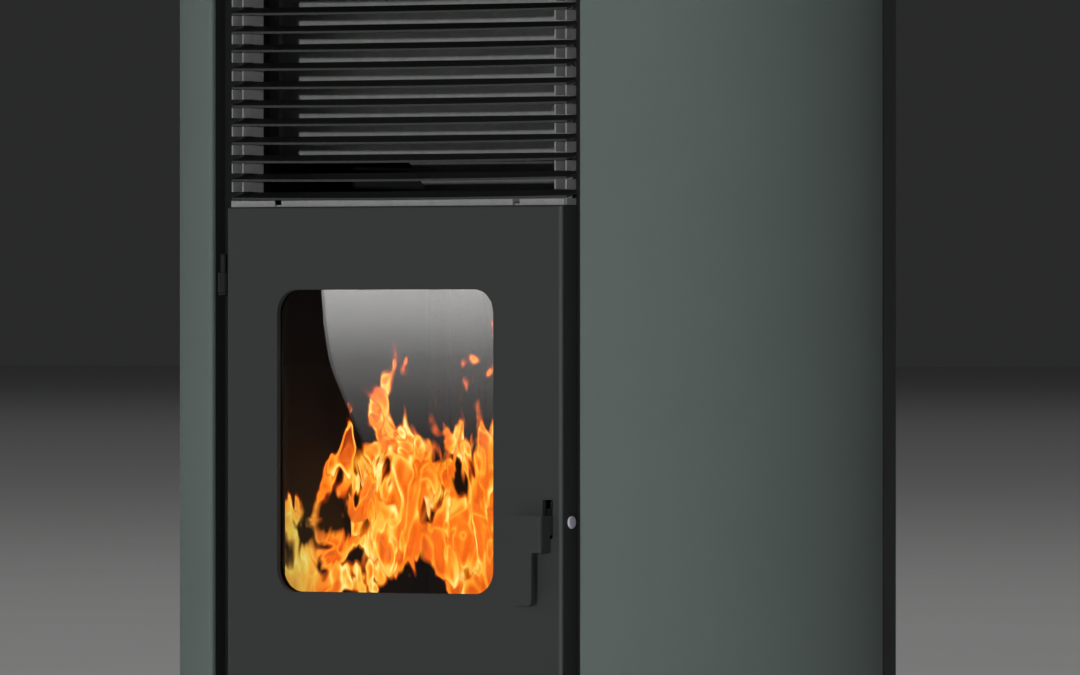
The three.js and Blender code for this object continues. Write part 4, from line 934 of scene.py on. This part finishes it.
class STOVE_OT_base(bpy.types.Operator):
    """Makes the base plate, feet and posts"""
    bl_idname = "stove.base"
    bl_label = "Base, feet and posts"

    def execute(self, context):
        base = bevel(plate("z", casing_outline(), (24, BASE_TOP)), 0.6)
        hand_over(base, "base_sheet", "black_paint", "base_plate")
        foot = lathe("z", rounded([
            (0, 0, 0), (22, 0, 1.5), (22, 5, 1.2), (19.8, 7.6, 1.2), (9.4, 9.6, 1.5),
            (8.8, 23.7, 0.6), (0, 23.7, 0)], 4, False), (0, 0))
        places = {"front_left": (-170, -120, 0), "front_right": (170, -120, 0),
                  "rear_left": (-160, 190, 0), "rear_right": (160, 190, 0)}
        for place, pad in zip(places, copies(foot, places.values())):
            hand_over(pad, f"pad_{place}", "rubber", f"foot_{place}")
        front = FRONT + 20.3
        path = [(168.3, front + 34, 0), (168.3, front, 2.2), (190.3, front, 2.2),
                (190.3, front + 34, 0)]
        right = bevel(folded_sheet("z", rounded(path, 5, False), CASING_Z, 2, -1), 0.4, 2, 50)
        left = mirrored(right)
        hand_over(right, "right_post", "black_paint", "post_right")
        x, y = HINGE
        lugs = []
        for z in HINGE_Z:
            lug = plate("z", rounded([(x - 4.5, front + 1, 0), (x - 4.5, y - 4.5, 4.4),
                                      (x + 4.5, y - 4.5, 4.4), (x + 4.5, front + 1, 0)], 8),
                        (z, z + 16))
            lugs.append(bevel(cut(lug, rod("z", HINGE_HOLE, (z - 1, z + 17), HINGE)), 0.4))
        hand_over(joined(left, *lugs), "left_post", "black_paint", "post_left")
        for level, z in zip(("lower", "upper"), HINGE_Z):
            pin = lathe("z", rounded([
                (0, z - 2.3, 0), (4.2, z - 2.3, 0.8), (4.2, z - GAP, 0.3), (2.5, z - GAP, 0),
                (2.5, z + 31, 0.8), (0, z + 31, 0)], 4, False), HINGE, 32)
            hand_over(pin, f"pin_{level}", "black_paint", f"hinge_pin_{level}", slot="bare_steel")
        return {"FINISHED"}


# ---- door
def tray(z, sheet=SHEET, fold=1.5, depth=18):
    """A shallow box open at the rear: a cube hollowed by an inset and an extrusion."""
    obj = block(DOOR_X, (FRONT, FRONT + depth), z)
    front = at(0, FRONT, 0).y
    with editing(obj):
        pick(obj, "FACE", lambda c, n: n.y > 0.9)
        bpy.ops.mesh.inset(thickness=fold * MM)
        extrude(y=sheet - depth)
        pick(obj, "EDGE", lambda c, d: abs(c.y - front) < 1e-6)
        bpy.ops.mesh.bevel(offset=sizes().door_fold, segments=5, affect="EDGES")
    return obj


def make_door():
    obj = tray(DOOR_Z, 5, 2.5, 20)
    through = (FRONT - 2, FRONT + 6)
    cut(obj, slab("y", WINDOW_X, WINDOW_Z, WINDOW_CORNER, through, 12),
        slab("y", SLOT_X, (527.5, 558), 1.0, through, 3),
        rod("x", PIVOT_HOLE, (158, 169), PIVOT))
    bevel(obj, 0.45)
    x, z = about(0, 143.8), (352.0, 784.0)
    seat = slab("y", x, z, 14, (FRONT + 4, FRONT + 12), 6)
    cut(seat, slab("y", grown(x, -10), grown(z, -10), 10, (FRONT + 3, FRONT + 13), 6))
    lug = block((145, 148), (FRONT + 4, FRONT + 20), (529.4, 551.4))
    cut(lug, rod("x", PIVOT_HOLE, (140, 152), PIVOT))
    extras = [bevel(seat, 0.4), bevel(lug, 0.5)]
    x, y = HINGE
    for z in HINGE_Z:
        low = z + 16 + GAP
        arm = plate("z", rounded([
            (x - 4.5, y - 4.5, 4.4), (-166.8, y - 2.5, 0), (-166.8, y + 2.5, 0),
            (x + 1, y + 2.5, 1.5), (x - 4.5, y + 4.5, 4.4)], 8), (low, low + 16))
        cut(arm, rod("z", HINGE_HOLE, (low - 1, low + 17), HINGE))
        extras.append(bevel(arm, 0.35))
    return joined(obj, *extras)


def make_glass():
    return bevel(slab("y", grown(WINDOW_X, REBATE), grown(WINDOW_Z, REBATE), WINDOW_CORNER,
                      (GLASS_FRONT, GLASS_FRONT + 4), 10), 0.5)


def make_clamp():
    pocket, outer = REBATE + GAP, REBATE + GAP + 3.5
    obj = slab("y", grown(WINDOW_X, outer), grown(WINDOW_Z, outer), WINDOW_CORNER + 3.5,
               (GLASS_FRONT, FRONT + 11.6), 8)
    cut(obj, slab("y", grown(WINDOW_X, pocket), grown(WINDOW_Z, pocket), WINDOW_CORNER,
                  (FRONT, FRONT + 9.6), 8),
        slab("y", WINDOW_X, WINDOW_Z, WINDOW_CORNER, (FRONT, FRONT + 20), 8))
    return bevel(obj, 0.35)


def make_gasket():
    """Rope pressed into its channel: an oval section led round a rounded rectangle."""
    line = rounded(rectangle(about(0, 138.8), (357, 779), 11), 8)
    points = []
    for (a, b), (c, d) in zip(line, line[1:] + line[:1]):
        pieces = max(1, round(math.hypot(c - a, d - b) / 6))
        points += [(a + (c - a) * k / pieces, b + (d - b) * k / pieces) for k in range(pieces)]
    middle, radius, half_depth = FRONT + 18, 4.9, 5.6
    curve = bpy.data.curves.new("rope_line", "CURVE")
    curve.dimensions = "3D"
    spline = curve.splines.new("POLY")
    spline.points.add(len(points) - 1)
    for point, (x, z) in zip(spline.points, points):
        point.co = (*at(x, middle, z), 1)
    spline.use_cyclic_u = True
    curve.bevel_depth = radius * MM
    curve.bevel_resolution = 5
    only(linked("rope", curve))
    bpy.ops.object.convert(target="MESH")
    obj = bpy.context.object
    centre = at(0, middle, 0).y
    for vert in obj.data.vertices:
        vert.co.y = centre + (vert.co.y - centre) * half_depth / radius
    return outward(obj)


def make_handle():
    front, right = FRONT - 14, HANDLE_EDGE
    left = right - 33
    low, high, foot = 516.4, 545.6, 474.8
    face = plate("y", rounded([
        (left, high, 1.2), (left, foot, 4), (left + 24, foot, 4), (left + 24, low, 1.0),
        (right, low, 0), (right, high, 0)]), (front, front + 3))
    y, z = PIVOT
    nose = y + 31
    side = plate("x", rounded([
        (front, low, 0), (FRONT - 1.5, low, 1.5), (FRONT - 1.5, z - 10, 0), (y, z - 10, 4),
        (y + 6, z - 8, 2), (nose, z - 8, 2), (nose, z + 1, 1), (nose - 5, z + 1, 1),
        (nose - 5, z - 2, 1), (y + 8, z - 2, 1), (y, high, 3), (front, high, 0)], 4),
        (right - 3, right))
    obj = weld(face, side)
    corner = at(right, front, 0)
    with editing(obj):
        pick(obj, "EDGE", lambda c, d: abs(d.z) > 0.9 and abs(c.x - corner.x) < 1e-5
             and abs(c.y - corner.y) < 1e-5)
        bpy.ops.mesh.bevel(offset=3.4 * MM, segments=6, affect="EDGES")
    weld(obj, rod("x", 7, (right - 4.5, right), PIVOT, 48))
    cut(obj, rod("x", PIVOT_HOLE, (right - 8, right + 1), PIVOT))
    return bevel(obj, 0.45)


class STOVE_OT_door(bpy.types.Operator):
    """Makes the fire door with its glass, clamp, gasket, handle and pivot pin"""
    bl_idname = "stove.door"
    bl_label = "Fire door"

    def execute(self, context):
        hand_over(make_door(), "door_shell", "door_paint", "door_leaf", body="door")
        hand_over(make_glass(), "fire_glass", "glass", "door_glass", body="door", smooth=1)
        hand_over(make_clamp(), "clamp_ring", "black_paint", "glass_clamp", body="door")
        hand_over(make_gasket(), "gasket_rope", "rope", "door_gasket", body="door", smooth=60)
        hand_over(make_handle(), "lever_handle", "anthracite_paint", "door_handle", body="handle")
        x = DOOR_HALF + GAP
        pin = lathe("x", rounded([
            (0, 144.5, 0), (3, 144.5, 0.6), (3, x, 0), (5.0, x, 0.2), (5.0, x + 1.1, 0.4),
            (4.2, x + 1.6, 0.4), (0, x + 1.6, 0)], 4, False), PIVOT, 40)
        hand_over(pin, "pivot_pin", "zinc_pin", "handle_pin", body="door")
        return {"FINISHED"}


class STOVE_OT_covers(bpy.types.Operator):
    """Makes the upper and lower covers and the ash drawer"""
    bl_idname = "stove.covers"
    bl_label = "Covers and ash drawer"

    def execute(self, context):
        for level, z in (("upper", (973.6, CASING_Z[1])), ("lower", (CASING_Z[0], 236))):
            hand_over(bevel(tray(z), 0.3, 2, 50), f"{level}_cover", "anthracite_paint",
                      f"{level}_front_cover")
        drawer = tray((242, 334))
        cut(drawer, plate("y", rounded([(-45, 340, 0), (-45, 322, 6), (45, 322, 6), (45, 340, 0)]),
                          (FRONT - 2, FRONT + 20)))
        bevel(drawer, 0.3, 2, 50)
        ash_bin = block(about(0, 125), (FRONT + 1, FLANGE + 180), (248.3, 322.3))
        with editing(ash_bin):
            pick(ash_bin, "FACE", lambda c, n: n.z > 0.9)
            bpy.ops.mesh.inset(thickness=SHEET * MM)
            extrude(z=-72.5)
        bevel(ash_bin, 0.4, 2, 50)
        hand_over(joined(drawer, ash_bin), "drawer_tray", "anthracite_paint", "ash_drawer",
                  body="drawer")
        return {"FINISHED"}


# ---- grille
def make_slat():
    """The lowest slat: a flat outline with a bowed front edge, tilted in its place."""
    half, bow, count = 168.0, 5.0, 24
    across = [1 - 2 * k / count for k in range(count + 1)]
    points = [(-half, 21.3), (half, 21.3)] + [(half * a, -bow * (1 - a ** 2)) for a in across]
    obj = bevel(plate("z", points, (0, 2)), 0.35)
    obj.data.transform(
        Matrix.Translation(at(0, FRONT + 6.7, FIRST_SLAT))
        @ Matrix.Rotation(math.radians(12), 4, "X") @ Matrix.Translation(-at(0, 0, 0)))
    return obj


class STOVE_OT_grille(bpy.types.Operator):
    """Makes the twelve bowed grille slats and the frame that carries them"""
    bl_idname = "stove.grille"
    bl_label = "Warm-air grille"

    def execute(self, context):
        slats = copies(make_slat(), [(0, 0, number * SLAT_PITCH) for number in range(SLATS)])
        for number, slat in enumerate(slats, 1):
            hand_over(slat, f"slat_{number:02d}", "slat_paint", f"grille_slat_{number:02d}")
        for node, name in (("grille_frame", "grille_combs"), ("heat_shield", "shield_sheet")):
            hand_over(bevel(copy_of(node), 0.2), name, "galvanised", node)
        return {"FINISHED"}


# ---- fire
def flame_sheet(depth, x, z, waves, turn):
    """A grid primitive hung upright in the fire chamber and waved like a cloth."""
    obj = added(bpy.ops.mesh.primitive_grid_add, x_subdivisions=36, y_subdivisions=36, size=1)
    for vert in obj.data.vertices:
        across = x[0] + (x[1] - x[0]) * (vert.co.x + 0.5)
        up = z[0] + (z[1] - z[0]) * (vert.co.y + 0.5)
        wave = waves * (math.sin(across / 17 + up / 46 + depth) + math.sin(up / 29 - depth) * 0.7)
        vert.co = at(across, FRONT + depth + wave + turn * (across - x[0]), up)
    return obj


class STOVE_OT_fire(bpy.types.Operator):
    """Makes the flames and the glowing pellets in the burn pot"""
    bl_idname = "stove.fire"
    bl_label = "Fire"

    def execute(self, context):
        front = joined(flame_sheet(32, (-130, 92), (452, 712), 3, 0.02),
                       flame_sheet(44, (-130, 76), (452, 712), 3, 0.02))
        hand_over(front, "flames", "flame", smooth=180)
        behind = flame_sheet(104, (-128, 44), (466, 682), 6, 0.08)
        hand_over(behind, "pot_flames", "flame", body="pot", smooth=180)
        chance = random.Random(7)
        pellet = bevel(rod("z", sizes().pellet / 2 / MM, (-8, 8), (0, 0), 12), 0.8, 1, 30)
        heap = []
        for _ in range(sizes().pellets):
            x, y = chance.uniform(-44, 44), chance.uniform(-37, 37)
            z = 447 + 15 * (1 - (x / 50) ** 2) * (1 - (y / 44) ** 2) - chance.uniform(0, 9)
            tilt = Matrix.Rotation(chance.uniform(0, math.pi), 4, "Z") @ Matrix.Rotation(
                chance.uniform(0.9, 1.57), 4, "X")
            heap.append(turned(pellet, Matrix.Translation(at(x, POT_Y + y, z)) @ tilt
                               @ Matrix.Translation(-at(0, 0, 0))))
        bpy.data.objects.remove(pellet)
        hand_over(joined(*heap), "pellet_bed", "ember", body="pot")
        return {"FINISHED"}


# ---- inner works
WORKS = {                            # finish, how far the edges are eased, and the moving body
    "firebox": ("firebox_paint", 0.6), "fire_back": ("cast_iron", 1.0),
    "baffle_plate": ("firebrick", 1.2), "burn_pot_holder": ("cast_iron", 0.6),
    "burn_pot": ("cast_iron", 0.8, "pot"), "igniter": ("bare_steel", 0.5),
    "latch_catch": ("bare_steel", 0.3), "pellet_chute": ("black_paint", 0.4),
    "auger_tube": ("galvanised", 0.4), "auger_screw": ("bare_steel", 0.3, "screw"),
    "auger_gearmotor": ("galvanised", 1.5), "hopper": ("galvanised", 0.4),
    "ash_box": ("black_paint", 0.4), "smoke_fan_housing": ("galvanised", 0.5),
    "smoke_fan_impeller": ("bare_steel", 0.3, "smoke_impeller"),
    "smoke_fan_motor": ("black_paint", 1.5), "room_fan_housing": ("galvanised", 0.4),
    "room_fan_rotor": ("bare_steel", 0.2, "room_rotor"), "mains_inlet": ("black_plastic", 0.5),
    "rocker_switch": ("black_plastic", 0.6, "rocker"),
}


class STOVE_OT_works(bpy.types.Operator):
    """Finishes the firebox, feed, fans and inlet with eased edges"""
    bl_idname = "stove.works"
    bl_label = "Inner works"

    def execute(self, context):
        for node, (finish, width, *moving) in WORKS.items():
            body = moving[0] if moving else "stove_body"
            hand_over(bevel(copy_of(node), width, 2, 38), f"{node}_made", finish, node, body=body)
        return {"FINISHED"}


class STOVE_OT_pipes(bpy.types.Operator):
    """Makes the flue spigot and the air pipe"""
    bl_idname = "stove.pipes"
    bl_label = "Flue and air pipes"

    def execute(self, context):
        start = 213.0
        pipe = lathe("y", rounded([
            (38.5, start, 0), (40, start, 0), (40, 262, 0.5), (41.2, 264, 0.8), (40, 266, 0.5),
            (40, 300, 0.6), (38.5, 300, 0.6)], 3), FLUE, 72, closed=True)
        flange = slab("y", about(FLUE[0], 45), about(FLUE[1], 45), 6, (start, start + 3), 5)
        cut(flange, rod("y", 39, (start - 2, start + 6), FLUE, 72))
        hand_over(joined(pipe, bevel(flange, 0.4)), "flue_pipe", "black_paint", "flue_spigot")
        air = lathe("y", rounded([
            (23.5, 186, 0.3), (25, 186, 0.3), (25, 245.7, 0), (34, 245.7, 0.5), (34, 248.2, 0.5),
            (25, 248.2, 0.3), (25, 272, 0.4), (26, 274, 0.8), (25, 276, 0.4), (25, 290, 0.5),
            (23.5, 290, 0.5)], 3), AIR, 56, closed=True)
        hand_over(air, "air_pipe", "bare_steel", "air_inlet_pipe")
        return {"FINISHED"}


# ---- stage
CAMERA_TURN = math.radians(37.08)
CAMERA_BACK = Vector((math.sin(CAMERA_TURN), -math.cos(CAMERA_TURN), 0))
EYE = (Vector((0, CENTRE_Y, 0.6859)) + CAMERA_BACK * 11.0
       + Vector((math.cos(CAMERA_TURN), math.sin(CAMERA_TURN), 0)) * 0.0056)
LENS = 455.7
GLOSS_PATH = 0.2                     # the card's distance, as a share of the camera's
LIGHTS = (                           # azimuth, elevation, distance, size, power, target
    ("key", 22, 0, 8.93, (0.1, 0.1), 440, (0, -0.1, 1.0425)),
    ("soft_key", -5, 10, 4.0, (1.6, 1.2), 11),
    ("right_fill", 60, 8, 3.5, (1.2, 1.4), 2.5),
    ("left_fill", -72, 6, 3.0, (1.0, 1.4), 15),
    ("overhead", 0, 90, 3.4, (1.3, 1.3), 45),
    ("rear_fill", -147, 26, 6.0, (1.2, 1.2), 150),
    ("far_floor", 0, 90, 35, (10, 10), 2500, CAMERA_BACK * -14),
    ("horizon", 0, 90, 90, (20, 20), 4200, CAMERA_BACK * -70),
)
CARD_FADE = (                        # how bright the card is from its foot to its head
    (0.0, 0.0), (0.38, 0.75), (0.6, 1.5), (0.75, 2.7), (0.9, 4.1), (1.0, 5.1))
CARD_EDGE = (                        # the outline of its mirror image in the glass
    (-75.9, 760), (-75.9, 723.6), (-73.5, 697), (-68.9, 670.8), (-62.9, 655), (-54.9, 639.6),
    (-46, 622), (-35.9, 605.2), (-26, 586), (130, 586), (130, 760))


def area_light(name, azimuth, elevation, distance, size, power, target=(0, 0, 0.6)):
    a, e = math.radians(azimuth), math.radians(elevation)
    back = Vector((math.sin(a) * math.cos(e), -math.cos(a) * math.cos(e), math.sin(e)))
    data = bpy.data.lights.new(name, "AREA")
    data.shape = "RECTANGLE"
    data.size, data.size_y = size
    data.energy = power
    lamp = linked(name, data)
    lamp.location = Vector(target) + back * distance
    lamp.rotation_euler = (-back).to_track_quat("-Z", "Y").to_euler()
    lamp.visible_camera = False


def mirrored_place(x, z):
    """Where the card must reach for its mirror image to be seen at this place of the glass."""
    glass = at(x, GLASS_FRONT, z)
    run = (glass - EYE) * GLOSS_PATH
    return glass + Vector((run.x, -run.y, run.z))


def reflected_card():
    """A studio card out of the picture, whose light fades downwards: the glass mirrors it."""
    finish = Finish(Base_Color=(0, 0, 0, 1), Emission_Strength=1.0)
    finish.material.name = "card"
    low, high = mirrored_place(0, CARD_EDGE[-2][1]).z, mirrored_place(0, WINDOW_Z[1]).z
    share = (finish.along("Z") - low) * (1 / (high - low))
    stops = [(place, (tone,) * 3) for place, tone in CARD_FADE]
    finish.set(Emission_Color=finish.ramp(share, stops))
    card = face_through([mirrored_place(x, z) for x, z in CARD_EDGE])
    card.name = "gloss_card"
    card.data.materials.append(finish.material)
    card.visible_camera = False
    card.visible_shadow = False


class STOVE_OT_stage(bpy.types.Operator):
    """Sets the floor, lights, reflected card and camera"""
    bl_idname = "stove.stage"
    bl_label = "Studio"

    def execute(self, context):
        scene = context.scene
        floor = added(bpy.ops.mesh.primitive_plane_add, size=500)
        floor.name = "floor"
        floor.data.materials.append(finish_for("floor"))
        camera = linked("camera", bpy.data.cameras.new("camera"))
        camera.data.sensor_width = 36
        camera.data.lens = LENS
        camera.data.clip_end = 600
        camera.location = EYE
        camera.rotation_euler = (math.pi / 2, 0, CAMERA_TURN)
        scene.camera = camera
        reflected_card()
        for light in LIGHTS:
            area_light(*light)
        world = bpy.data.worlds.new("studio")
        scene.world = world
        world.use_nodes = True
        background = world.node_tree.nodes["Background"]
        background.inputs["Color"].default_value = (0.75, 0.76, 0.77, 1)
        background.inputs["Strength"].default_value = 0.03
        scene.view_settings.view_transform = "Standard"
        return {"FINISHED"}


class STOVE_PT_sidebar(bpy.types.Panel):
    bl_idname = "STOVE_PT_sidebar"
    bl_label = "Pellet stove"
    bl_space_type = "VIEW_3D"
    bl_region_type = "UI"
    bl_category = "Stove"

    def draw(self, context):
        for group in (context.scene.stove_sizes, context.scene.stove_colours):
            box = self.layout.box()
            for name in group.__annotations__:
                box.prop(group, name)
        for operator in OPERATORS:
            self.layout.operator(operator.bl_idname)


OPERATORS = (
    STOVE_OT_stage, STOVE_OT_panels, STOVE_OT_rear, STOVE_OT_top, STOVE_OT_base, STOVE_OT_door,
    STOVE_OT_covers, STOVE_OT_grille, STOVE_OT_fire, STOVE_OT_works, STOVE_OT_pipes,
)
CLASSES = (StoveSizes, StoveColours, *OPERATORS, STOVE_PT_sidebar)


def register():
    for each in CLASSES:
        bpy.utils.register_class(each)
    bpy.types.Scene.stove_sizes = PointerProperty(type=StoveSizes)
    bpy.types.Scene.stove_colours = PointerProperty(type=StoveColours)


def unregister():
    del bpy.types.Scene.stove_sizes
    del bpy.types.Scene.stove_colours
    for each in reversed(CLASSES):
        bpy.utils.unregister_class(each)


def main():
    register()
    for operator in OPERATORS:
        group, name = operator.bl_idname.split(".")
        getattr(getattr(bpy.ops, group), name)()


if __name__ == "__main__":
    main()
